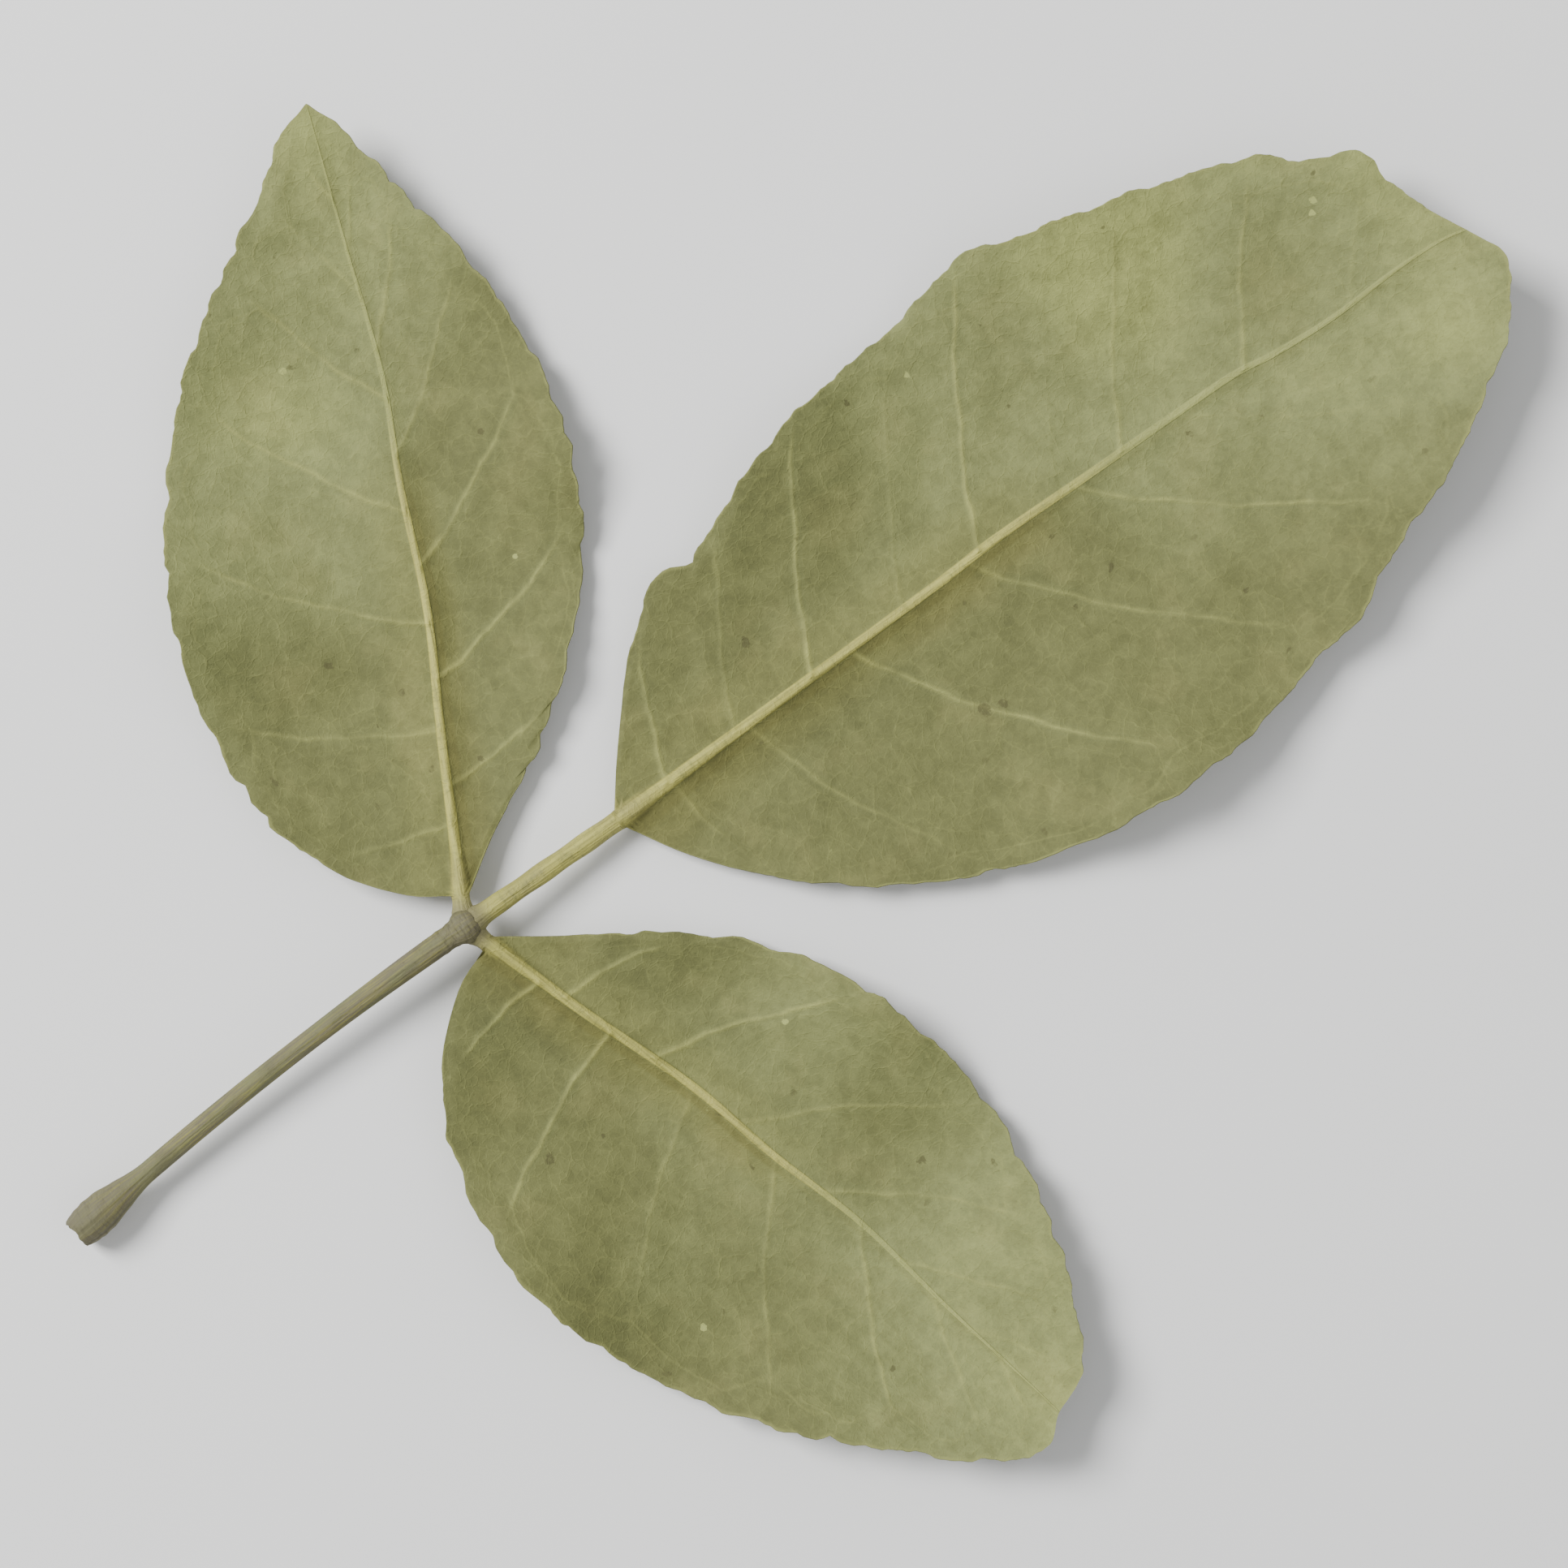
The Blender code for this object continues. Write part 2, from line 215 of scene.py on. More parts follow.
@dataclass
class Leaflet:
    """A leaflet: how it is turned from the leaf's own line, its stalk, its midrib and its two halves.

    It rests on the floor at a distance from the knuckle. Kinks are sideways steps of the midrib at shares of
    its length. Bruises and flecks are dark and pale places with a radius. Stains are wide soft places with
    a radius and with how much paler or yellower the blade is there: partly real stains, partly painted light
    and shade. Bright ones lighten the midrib.
    """

    name: str
    turn: float
    stalk: float
    stalk_radius: float
    tip_radius: float
    midrib_bow: float
    rest: float
    tip_rise: float
    seed: int
    kinks: tuple
    bruises: tuple
    flecks: tuple
    stains_and_painted_light: tuple
    bright: tuple
    left: Half
    right: Half

    @property
    def length(self):
        return self.left.outline[-1][0]

    @property
    def sides(self):
        return ((self.left, 1.0), (self.right, -1.0))


TERMINAL = Leaflet(
    name="terminal_leaflet", turn=0.0, stalk=13.0, stalk_radius=0.72, tip_radius=0.15, midrib_bow=0.8,
    rest=47.0, tip_rise=6.2, seed=3,
    kinks=(
        (0.0, 0.0), (0.24, -0.05), (0.38, 0.05), (0.46, 0.3), (0.56, 0.27), (0.66, 0.33),
        (0.74, 0.36), (0.785, 0.0), (0.85, -0.14), (0.92, 0.25), (0.97, 0.32), (1.0, 0.0),
    ),
    bruises=(
        (25.2, -8.2, 0.42), (26.6, -8.7, 0.30), (14.2, 5.1, 0.34), (44.9, -11.8, 0.26), (29.5, 14.9, 0.26),
    ),
    flecks=((63.3, 7.1, 0.22), (63.8, 7.7, 0.22), (34.2, 14.0, 0.24)),
    # Wide soft places: partly real stains, partly painted light and shade
    stains_and_painted_light=(
        (11.0, 10.0, 8.0, -0.30), (21.0, 9.0, 7.0, -0.14), (50.0, 12.0, 10.0, 0.55),
        (60.0, 4.5, 11.0, -0.40), (32.0, -4.5, 11.0, -0.45), (66.0, -5.5, 6.0, 0.25),
        (44.0, -15.0, 8.0, -0.15), (58.0, -2.5, 6.0, 0.16),
    ),
    bright=((30.5, 0.5, 8.0, 0.15), (50.0, 0.5, 4.0, 0.08)),
    left=Half(
        outline=(
            (0.0, 0.7), (1.8, 3.1), (3.8, 5.5), (6.0, 8.0), (7.8, 9.7), (10.0, 11.4), (11.2, 12.2),
            (12.4, 12.5), (13.5, 12.2), (14.3, 11.7), (14.9, 12.3), (16.2, 12.6), (17.4, 13.3), (19.0, 13.9),
            (21.5, 14.8), (24.8, 15.8), (28.0, 16.4), (32.0, 16.9), (36.0, 17.4), (39.0, 18.1), (41.4, 18.5),
            (43.2, 18.1), (45.0, 17.4), (49.8, 16.2), (54.8, 15.0), (59.6, 13.5), (62.7, 12.3), (63.8, 10.8),
            (65.6, 9.9), (68.0, 8.4), (68.6, 6.0), (69.4, 3.2), (71.0, 0.0),
        ),
        fan=(
            (0.0, 0.0), (0.056, 0.15), (0.24, 0.380), (0.437, 0.552), (0.606, 0.691), (0.763, 0.812),
            (1.0, 1.0),
        ),
        ribs=(4.0, 10.0, 16.6, 24.5, 31.2, 38.0, 43.4, 53.6, 62.0),
        strengths=(0.6, 0.35, 1.0, 0.15, 1.0, 0.1, 0.75, 0.75, 0.25),
        sweep=1.7, arch=0.06, tooth_pitch=3.4, tooth_depth=0.09, lift=3.8, rib_stop=0.5, wave=1.3,
        wave_length=25.0, wave_start=0.35,
    ),
    right=Half(
        outline=(
            (0.0, 0.7), (2.6, 4.9), (6.4, 9.3), (11.5, 13.6), (17.5, 17.0), (24.5, 19.5), (32.0, 20.4),
            (38.5, 20.1), (42.0, 19.5), (45.0, 18.7), (50.0, 17.8), (51.8, 16.9), (53.4, 15.8), (57.0, 14.3),
            (60.0, 13.1), (62.0, 12.2), (64.0, 10.9), (67.6, 8.7), (70.0, 6.6), (71.7, 4.0), (72.0, 2.4),
            (71.0, 0.0),
        ),
        fan=((0.0, 0.0), (0.12, 0.25), (0.28, 0.505), (0.42, 0.643), (0.55, 0.765), (0.75, 0.9), (1.0, 1.0)),
        ribs=(4.5, 11.0, 19.8, 30.0, 39.2, 48.0, 56.5, 64.0),
        strengths=(0.4, 0.5, 0.9, 0.6, 1.0, 0.2, 0.15, 0.1),
        sweep=2.8, arch=0.12, tooth_pitch=3.2, tooth_depth=0.09, lift=4.3, rib_stop=3.0, rib_fade=6.0,
        wave=1.4, wave_length=29.0, wave_start=0.1, tip_lift=2.2,
    ),
)

LEFT = Leaflet(
    name="left_leaflet", turn=66.0, stalk=2.2, stalk_radius=0.62, tip_radius=0.14, midrib_bow=-1.3,
    rest=29.0, tip_rise=5.6, seed=11,
    kinks=((0.0, 0.0), (0.2, 0.16), (0.36, -0.12), (0.52, 0.2), (0.66, -0.14), (0.83, 0.15), (1.0, 0.0)),
    bruises=((17.4, 6.2, 0.30), (31.5, -7.4, 0.24), (9.0, -3.1, 0.22)),
    flecks=((38.2, 5.4, 0.22), (22.5, -8.0, 0.20)),
    stains_and_painted_light=((14.0, 7.0, 9.0, -0.18), (30.0, -5.0, 9.0, -0.20), (36.0, 7.0, 8.0, 0.25)),
    bright=((19.0, 0.0, 7.0, 0.11),),
    left=Half(
        outline=(
            (0.0, 0.6), (0.7, 3.8), (3.2, 8.2), (8.0, 12.3), (15.0, 15.0), (23.0, 15.8), (31.0, 14.9),
            (38.5, 12.2), (45.0, 8.3), (50.0, 4.5), (53.6, 2.2), (55.5, 0.0),
        ),
        ribs=(5.0, 11.5, 19.0, 27.0, 35.0, 42.5, 49.0),
        sweep=2.0, tooth_pitch=3.0, tooth_depth=0.20, lift=3.5, wave=1.4, wave_length=21.0, wave_start=0.2,
    ),
    right=Half(
        outline=(
            (0.0, 0.6), (3.8, 3.0), (8.8, 6.8), (14.5, 10.2), (21.5, 12.6), (29.0, 13.2), (36.5, 11.8),
            (43.5, 8.6), (49.0, 4.8), (53.0, 2.3), (55.5, 0.0),
        ),
        ribs=(7.5, 15.0, 23.0, 31.0, 38.5, 45.5),
        sweep=2.3, tooth_pitch=3.1, tooth_depth=0.20, lift=2.9, wave=1.1, wave_length=18.0, wave_start=0.6,
        tip_lift=1.8,
    ),
)

RIGHT = Leaflet(
    name="right_leaflet", turn=-74.0, stalk=2.0, stalk_radius=0.62, tip_radius=0.15, midrib_bow=1.1,
    rest=28.0, tip_rise=5.0, seed=23,
    kinks=((0.0, 0.0), (0.16, -0.14), (0.34, 0.18), (0.48, -0.1), (0.63, 0.16), (0.8, -0.2), (1.0, 0.0)),
    bruises=((33.0, 7.3, 0.28), (12.8, -9.1, 0.34), (40.5, -5.2, 0.22)),
    flecks=((19.4, 8.8, 0.20), (28.6, -11.4, 0.24)),
    stains_and_painted_light=((12.0, -8.0, 9.0, -0.22), (31.0, 6.0, 9.0, -0.15), (24.0, -11.0, 7.0, 0.22)),
    bright=((24.0, 0.0, 8.0, 0.10),),
    left=Half(
        outline=(
            (0.0, 0.6), (3.4, 3.4), (8.2, 7.6), (14.0, 11.4), (21.0, 13.9), (28.5, 14.2), (35.5, 12.7),
            (42.0, 9.8), (47.0, 6.6), (50.4, 3.2), (51.0, 0.0),
        ),
        ribs=(6.5, 14.0, 21.5, 29.0, 36.5, 43.0),
        sweep=2.2, tooth_pitch=3.2, tooth_depth=0.19, lift=3.1, wave=1.3, wave_length=20.0, wave_start=0.05,
    ),
    right=Half(
        outline=(
            (0.0, 0.6), (0.5, 4.0), (3.2, 9.0), (8.4, 13.4), (15.5, 16.2), (23.0, 16.8), (30.5, 15.6),
            (37.5, 12.8), (44.0, 9.2), (49.0, 6.0), (51.7, 2.6), (51.0, 0.0),
        ),
        ribs=(4.5, 10.5, 17.5, 25.0, 32.5, 39.5, 45.5),
        sweep=2.0, tooth_pitch=3.3, tooth_depth=0.19, lift=3.6, wave=1.4, wave_length=23.0, wave_start=0.45,
        tip_lift=2.0,
    ),
)

LEAFLETS = (TERMINAL, LEFT, RIGHT)


# Settings that a user would change


def length_property(label, words, size):
    """A length setting, with its default in millimetres."""
    return FloatProperty(name=label, description=words, default=size * MM, unit="LENGTH")


def colour_property(label, words, value):
    """A colour setting."""
    return FloatVectorProperty(name=label, description=words, default=value, subtype="COLOR", min=0.0)


class LeafSizes(bpy.types.PropertyGroup):
    """How thick the blade is and how far its ribs stand out."""

    blade: length_property("Blade thickness", "Thickness of the dried blade between its ribs", 0.30)
    edge: length_property("Edge thickness", "Thickness of the blade at its edge", 0.17)
    midrib: length_property("Midrib height", "How far the midrib stands out of the underside", 0.34)
    side_rib: length_property("Side rib height", "How far a side rib stands out by the midrib", 0.13)
    sag: length_property("Sag between ribs", "How far the blade sinks between two side ribs", 0.10)
    crease: length_property("Fold", "How far the blade stands up along its midrib, as a soft fold", 0.42)
    wrinkle: length_property("Wrinkles", "Height of the irregular waves left by drying", 0.16)

    def in_mm(self):
        """These sizes in millimetres."""
        return SimpleNamespace(**{name: getattr(self, name) / MM for name in LeafSizes.__annotations__})


class LeafColours(bpy.types.PropertyGroup):
    """Colours of the dried leaf, as linear values."""

    pale: colour_property("Pale green", "Underside where it is palest", (0.300, 0.324, 0.107))
    green: colour_property("Green", "Underside of the blade", (0.205, 0.223, 0.084))
    yellow: colour_property("Yellowed", "Underside near the base", (0.136, 0.143, 0.050))
    upper: colour_property("Upper face", "The darker upper face", (0.098, 0.106, 0.048))
    straw: colour_property("Straw", "The midrib and the leaflet's stalk", (0.440, 0.418, 0.109))
    rib: colour_property("Side rib", "Side ribs on the underside", (0.290, 0.302, 0.100))
    brown: colour_property("Brown", "The petiole's skin", (0.135, 0.122, 0.072))
    speck: colour_property("Speck", "Dark specks and bruises", (0.065, 0.060, 0.024))
    floor: colour_property("Floor", "The pale surface under the leaf", (0.880, 0.880, 0.870))


class StageSettings(bpy.types.PropertyGroup):
    """Light and camera."""

    key: FloatProperty(name="Key light", description="Power of the left lamp", default=7.5, unit="POWER")
    fill: FloatProperty(name="Fill light", description="Power of the right lamp", default=0.8, unit="POWER")
    sky: FloatProperty(name="Room light", description="Strength of the even light of the room", default=0.5)
    lens: FloatProperty(name="Lens", description="Focal length in millimetres", default=90.0)
    roll: FloatProperty(
        name="Roll",
        description="Turn of the camera that runs the midrib from lower left to upper right",
        default=math.radians(55.2),
        subtype="ANGLE",
    )


# Form of a leaflet


def blend(low, high, value):
    """An even slide from 0 at low to 1 at high; low may be the larger one."""
    share = np.clip((value - low) / (high - low), 0.0, 1.0)
    return share * share * (3.0 - 2.0 * share)


def ripples(place, *waves):
    """A sum of sine waves, each with its height, its pace and its start."""
    return sum(height * np.sin(place * pace + start) for height, pace, start in waves)


def smooth_line(points):
    """A curve through the points, as a dense row of places."""
    knots = np.array(points)
    knots = np.vstack((2 * knots[0] - knots[1], knots, 2 * knots[-1] - knots[-2]))
    u = np.arange(OUTLINE_STEPS)[:, None] / OUTLINE_STEPS
    places = []
    for before, start, end, after in zip(knots, knots[1:], knots[2:], knots[3:]):
        turn = (end - before) * u + (2 * before - 5 * start + 4 * end - after) * u**2
        places.append(start + 0.5 * (turn + (3 * start - before - 3 * end + after) * u**3))
    return np.vstack((*places, knots[-2]))


def edge_places(half, shares):
    """Places on the toothed edge at these shares of its length."""
    line = smooth_line(half.outline)
    lengths = np.pad(np.cumsum(np.hypot(*np.diff(line, axis=0).T)), (1, 0))
    wanted = shares * lengths[-1]
    forward = np.gradient(line, lengths, axis=0)
    along, across, ahead, outward = (np.interp(wanted, lengths, row) for row in (*line.T, *forward.T))
    turns = wanted / half.tooth_pitch + 0.3 * np.sin(wanted * 0.31 + half.tooth_pitch * 5.0)
    uneven = 0.45 + 1.1 * np.abs(np.sin(12.9898 * np.floor(turns) + 78.2 * half.sweep))
    teeth = half.tooth_depth * (uneven * np.abs(np.sin(math.pi * turns)) ** 0.8 - 0.5)
    ragged = ripples(
        wanted,
        (0.09, 1.13, half.sweep * 9.0),
        (0.05, 2.9, half.lift * 7.0),
        (0.03, 6.1, 2.0 * np.sin(wanted * 0.7)),
    )
    # The edge is even at the blade's base and at its tip
    shift = (teeth + ragged) * blend(0.06, 0.2, shares) * blend(0.0, 0.06, 1.0 - shares)
    return np.column_stack((along - outward * shift, across + ahead * shift))


def swept(half, share):
    """The share of the edge where the rib that leaves the midrib at this share ends."""
    if half.fan:
        line = smooth_line(half.fan)
        return np.interp(share, line[:, 0], line[:, 1])
    return EVEN_SHARE * share + (1.0 - EVEN_SHARE) * (1.0 - (1.0 - share) ** half.sweep)


def wrinkles(leaflet, along, across, height):
    """Gentle waves of the dried blade: crossing sine waves with seeded turns."""
    draw = np.random.default_rng(leaflet.seed)
    total = np.zeros_like(along)
    for wave_length in WRINKLE_LENGTHS:
        angle = draw.uniform(0.0, math.pi)
        start = draw.uniform(0.0, 2 * math.pi)
        phase = 2 * math.pi * (along * math.cos(angle) + across * math.sin(angle)) / wave_length
        bend = 0.9 * np.sin(phase * 0.37 + start)
        total += wave_length / WRINKLE_LENGTHS[0] * np.sin(phase + bend + start)
    return height * total / WRINKLE_SUM


def lower_face(leaflet, along, across, wrinkle):
    """Height of the lower face: down from the knuckle, flat where it rests, and up to tip and edges."""
    reach = leaflet.stalk + along
    end = leaflet.stalk + leaflet.length
    drop = KNUCKLE_HEIGHT - SOLID_THICKNESS / 2 + FLAT_DIP
    down = drop * np.maximum(1.0 - reach / leaflet.rest, 0.0) ** 2
    up = leaflet.tip_rise * (np.maximum(reach - leaflet.rest, 0.0) / (end - leaflet.rest)) ** 2
    height = down + up - FLAT_DIP
    for half, side in leaflet.sides:
        width = max(out for _, out in half.outline)
        out = np.maximum(across * side, 0.0) / width
        tip_lift = half.tip_lift * blend(0.5, 1.0, along / leaflet.length)
        wave = half.wave * np.sin(2 * math.pi * (along / half.wave_length + half.wave_start))
        height = height + out**2 * (half.lift + tip_lift + wave * blend(0.0, WAVE_RISE, along))
    height = height + wrinkles(leaflet, along, across, wrinkle) * blend(0.0, WRINKLE_RISE, along)
    near = np.clip(height, -FLAT_BLEND, FLAT_BLEND)
    soft = (near + FLAT_BLEND) ** 2 / (4 * FLAT_BLEND)
    return np.where(height > FLAT_BLEND, height, soft)


def stalk_middle(leaflet, alongs):
    """Height of the stalk's middle at these places, one a row."""
    return lower_face(leaflet, alongs, np.zeros(len(alongs)), 0.0)[:, None] + SOLID_THICKNESS / 2


def midrib_radius(leaflet, share):
    """Half the midrib's width at a share of the way to the tip."""
    left = 0.52 * np.exp(-share / 0.07) + 0.48 * (1.0 - share**6)
    return leaflet.tip_radius + (leaflet.stalk_radius - leaflet.tip_radius) * left


def half_places(leaflet, half, side, shares):
    """Places from the midrib to the edge, a row for each share, and how far out each one is as a share."""
    edge = edge_places(half, swept(half, shares)) * (1.0, side)
    kinks = smooth_line(leaflet.kinks)
    middle = leaflet.midrib_bow * 4.0 * shares * (1.0 - shares) + np.interp(shares, kinks[:, 0], kinks[:, 1])
    start = np.column_stack((shares * leaflet.length, middle))
    reach = np.hypot(*(edge - start).T)
    bend = (start + edge) / 2
    bend[:, 0] -= half.arch * reach
    foot = np.minimum(MIDRIB_REACH_LIMIT, MIDRIB_REACH * midrib_radius(leaflet, shares) / reach)[:, None]
    near = np.arange(MIDRIB_COLUMNS) / MIDRIB_COLUMNS
    outs = np.hstack((foot * near, foot + (1.0 - foot) * np.linspace(0.0, 1.0, BLADE_COLUMNS)))
    out = outs[:, :, None]
    places = (1 - out) ** 2 * start[:, None] + 2 * out * (1 - out) * bend[:, None] + out**2 * edge[:, None]
    return places, outs


def row_shares(leaflet):
    """Shares of the midrib where rows of the mesh leave it: even ones, and closer ones at side ribs."""
    count = round(leaflet.length / ROW_STEP)
    ribs = leaflet.left.ribs + leaflet.right.ribs
    shares = set(np.arange(count) / count)
    shares |= {(rib + offset) / leaflet.length for rib in ribs for offset in RIB_OFFSETS}
    rib_shares = {rib / leaflet.length for rib in ribs}
    kept = []
    for share in sorted(shares):
        close = kept and share - kept[-1] < SMALLEST_ROW_STEP / leaflet.length
        if not close:
            kept.append(share)
        elif share in rib_shares:
            kept[-1] = share
    return np.array(kept)


def rib_gaps(leaflet, half, side, shares, places):
    """Each place's distance from the nearest side rib, that rib's strength, and its turn between ribs."""
    ribs = np.array(half.ribs) / leaflet.length
    draw = np.random.default_rng(leaflet.seed * 10 + int(side))
    strengths = half.strengths or draw.uniform(0.35, 1.0, len(ribs))
    gaps = np.full(places.shape[:2], FAR)
    powers = np.zeros(places.shape[:2])
    lines, _ = half_places(leaflet, half, side, ribs)
    for rib, line, strength in zip(ribs, lines, strengths):
        near = np.abs(shares - rib) * leaflet.length < RIB_REACH
        run = np.gradient(line, axis=0)
        run /= np.hypot(*run.T)[:, None]
        offset = places[near] - line
        gap = offset[:, :, 0] * run[:, 1] - offset[:, :, 1] * run[:, 0]
        walk = np.hypot(*(line - line[0]).T)
        pace = 0.5 + 0.3 * strength
        wander = ripples(walk, (0.10, pace, rib * 37.0), (0.05, 1.9, rib * 71.0), (0.03, 4.3, rib * 53.0))
        gap = np.abs(gap + wander * blend(0.3, 2.5, walk))
        powers[near] = np.where(gap < gaps[near], strength, powers[near])
        gaps[near] = np.minimum(gaps[near], gap)
    knots = np.concatenate(((0.0,), ribs, (1.0,)))
    turns = np.interp(shares, knots, np.arange(len(knots)))
    return gaps, powers, np.repeat(turns[:, None], places.shape[1], axis=1)


def edge_gaps(places):
    """How far each place is from the edge, measured along its row."""
    steps = np.hypot(*np.moveaxis(np.diff(places, axis=1), 2, 0))
    walked = np.pad(np.cumsum(steps, axis=1), ((0, 0), (1, 0)))
    return walked[:, -1:] - walked


def ring_of(upper, lower, rim_left, rim_right):
    """One closed ring a row: upper face left to right, right rim, lower face right to left, left rim."""
    return np.concatenate((upper, rim_right, lower[:, ::-1], rim_left, upper[:, :1]), axis=1)


def both_faces(values):
    """A ring that has the same values above and below."""
    return ring_of(values, values, values[:, :1], values[:, -1:])


def blade_sides(leaflet, shares):
    """Places from edge to edge, gaps to the ribs, the ribs' powers and turns, and gaps to the edge."""
    halves = []
    for half, side in leaflet.sides:
        places, _ = half_places(leaflet, half, side, shares)
        gaps, powers, turns = rib_gaps(leaflet, half, side, shares, places)
        edges = edge_gaps(places)
        powers = powers * blend(half.rib_stop, half.rib_stop + half.rib_fade, edges)
        halves.append((places, gaps, powers, turns, edges))
    return [np.concatenate((left[:, ::-1], right[:, 1:]), axis=1) for left, right in zip(*halves)]


def blade_rows(leaflet, sizes):
    """Rows round the blade, from its base to just before its tip: places, flattened places and values."""
    shares = row_shares(leaflet)
    places, gaps, powers, turns, edges = blade_sides(leaflet, shares)
    along, across = places[:, :, 0], places[:, :, 1]
    share = shares[:, None]
    middle = places.shape[1] // 2
    right_of_midrib = np.arange(places.shape[1]) - middle
    from_midrib = np.hypot(along - along[:, middle, None], across - across[:, middle, None])
    lower = lower_face(leaflet, along, across, sizes.wrinkle)

    # A soft fold along the midrib, steeper on the right
    reach = np.where(right_of_midrib > 0, RIGHT_FOLD, LEFT_FOLD)[None]
    fold = (1.0 - blend(0.0, reach, from_midrib)) * (1.0 - 0.75 * blend(0.3, 0.7, share))
    fold = fold * blend(1.0, 9.0, along) * blend(0.5, 6.0, leaflet.length - along)
    lower = lower + sizes.crease * fold

    # The midrib and the side ribs stand out, and the blade sags between them
    thickness = sizes.edge + (sizes.blade - sizes.edge) * blend(0.0, EDGE_BEVEL, edges)
    radius = midrib_radius(leaflet, share)
    crest = sizes.midrib * 1.1 * (radius / leaflet.stalk_radius) * (1.0 + 0.9 * np.exp(-along / 6.0))
    crest = crest * (1.0 - 0.80 * blend(0.15, 0.70, share))
    ridge = crest * np.exp(-((from_midrib / (0.95 * radius)) ** 2.6))
    rib_width = 0.17 + 0.14 * np.exp(-from_midrib / 6.0)
    ribs = sizes.side_rib * (1.0 - 0.5 * share) * (0.25 + 0.75 * np.exp(-from_midrib / 9.0))
    ribs = ribs * (0.3 + 0.7 * powers) * np.exp(-((gaps / (0.75 * rib_width)) ** 2)) * blend(1.0, 3.0, edges)
    sag = sizes.sag * blend(0.2, 3.0, gaps) * blend(0.5, 3.0, from_midrib) * blend(0.0, 3.0, edges)
    upper = lower + thickness + ridge + ribs - sag
    groove = GROOVE_SHARE * ridge + RIB_GROOVE_SHARE * ribs
    lower = np.minimum(lower + groove * (lower > 0.0), upper - THINNEST)

    # The round stalk runs out into the blade
    centre = stalk_middle(leaflet, shares * leaflet.length)
    round_part = 1.0 - blend(0.0, STALK_ROUND, share * leaflet.length)
    half_section = np.sqrt(np.maximum(leaflet.stalk_radius**2 - from_midrib**2, 0.0))
    inside = round_part * (half_section > 0.0)
    upper = upper + np.maximum(centre + half_section - upper, 0.0) * inside
    lower = lower + np.minimum(centre - half_section - lower, 0.0) * inside

    rim = places[:, (0, -1)] + np.array(((0.0, RIM_BULGE), (0.0, -RIM_BULGE)))
    rim_height = (upper[:, (0, -1)] + lower[:, (0, -1)]) / 2
    flat = ring_of(places, places, rim[:, :1], rim[:, 1:])
    height = ring_of(upper, lower, rim_height[:, :1], rim_height[:, 1:])
    half_way = np.full_like(share, 0.5)
    side = np.broadcast_to(np.clip(right_of_midrib / -3.0, -1.0, 1.0), along.shape)
    values = dict(
        midrib_gap=both_faces(from_midrib / radius),
        rib_gap=both_faces(gaps / (0.55 * rib_width + 0.09)),
        rib_power=both_faces(powers),
        rib_turn=both_faces(turns),
        edge_gap=both_faces(edges),
        share=share,
        side=both_faces(side),
        upper=ring_of(np.zeros_like(along), np.ones_like(along), half_way, half_way),
        stalk=both_faces(round_part * blend(1.25, 0.85, from_midrib / leaflet.stalk_radius)),
    )
    return np.concatenate((flat, height[:, :, None]), axis=2), flat, values


def stalk_rows(leaflet):
    """Rows round the leaflet's own stalk, from inside the knuckle to the blade's base, in the same form."""
    first = STALK_START - leaflet.stalk
    count = max(STALK_FEWEST_ROWS, round(-first / STALK_ROW_STEP))
    alongs = first * (1.0 - np.arange(count) / count)
    _, outs = half_places(leaflet, leaflet.left, 1.0, np.zeros(1))
    outs = np.concatenate((-outs[:, ::-1], outs[:, 1:]), axis=1)
    angles = np.arcsin(outs * math.sin(math.radians(STALK_EDGE_ANGLE)))
    reach = alongs + leaflet.stalk
    fade = blend(0.0, 0.9, -alongs)
    swelling = 1.0 + (0.42 * np.exp(-np.maximum(reach - 1.0, 0.0) / 0.4) - 0.04 * np.sin(reach * 1.7)) * fade
    radius = (leaflet.stalk_radius * swelling)[:, None]
    ridges = 1.0 + ripples(angles, (0.02, 7, 1.0), (0.012, 15, 0.0)) * fade[:, None]
    across = -radius * np.sin(angles)
    half_section = radius * np.cos(angles) * ridges
    middle = stalk_middle(leaflet, alongs)
    width = ring_of(across, across, radius, -radius)
    height = ring_of(middle + half_section, middle - half_section, middle, middle)
    unrolled = ring_of(angles, math.pi - angles, angles[:, :1], angles[:, -1:]) * leaflet.stalk_radius
    spot = np.stack(np.broadcast_arrays(alongs[:, None], width, height), axis=2)
    return spot, np.stack(np.broadcast_arrays(alongs[:, None], unrolled), axis=2), STALK_VALUES


def tip_row(leaflet, sizes, carried):
    """The tip, in the same form: one row whose places fall together above and below."""
    values = {name: value[-1:] for name, value in carried.items()}
    columns = values["upper"].shape[1]
    lower = lower_face(leaflet, np.array((leaflet.length,)), np.zeros(1), sizes.wrinkle)[0]
    face = (columns - 3) // 2
    height = np.full(columns, lower + sizes.edge)
    height[face + 1 : 2 * face + 1] = lower
    height[[face, 2 * face + 1]] = lower + sizes.edge / 2
    spot = np.column_stack((np.full(columns, leaflet.length), np.zeros(columns), height))
    values.update(share=1.0, edge_gap=0.0)
    return spot[None], spot[None, :, :2], values


# Meshes from grids


def deselect_all():
    """Nothing selected, so that an operator acts only on what comes next."""
    for thing in bpy.context.selected_objects:
        thing.select_set(False)


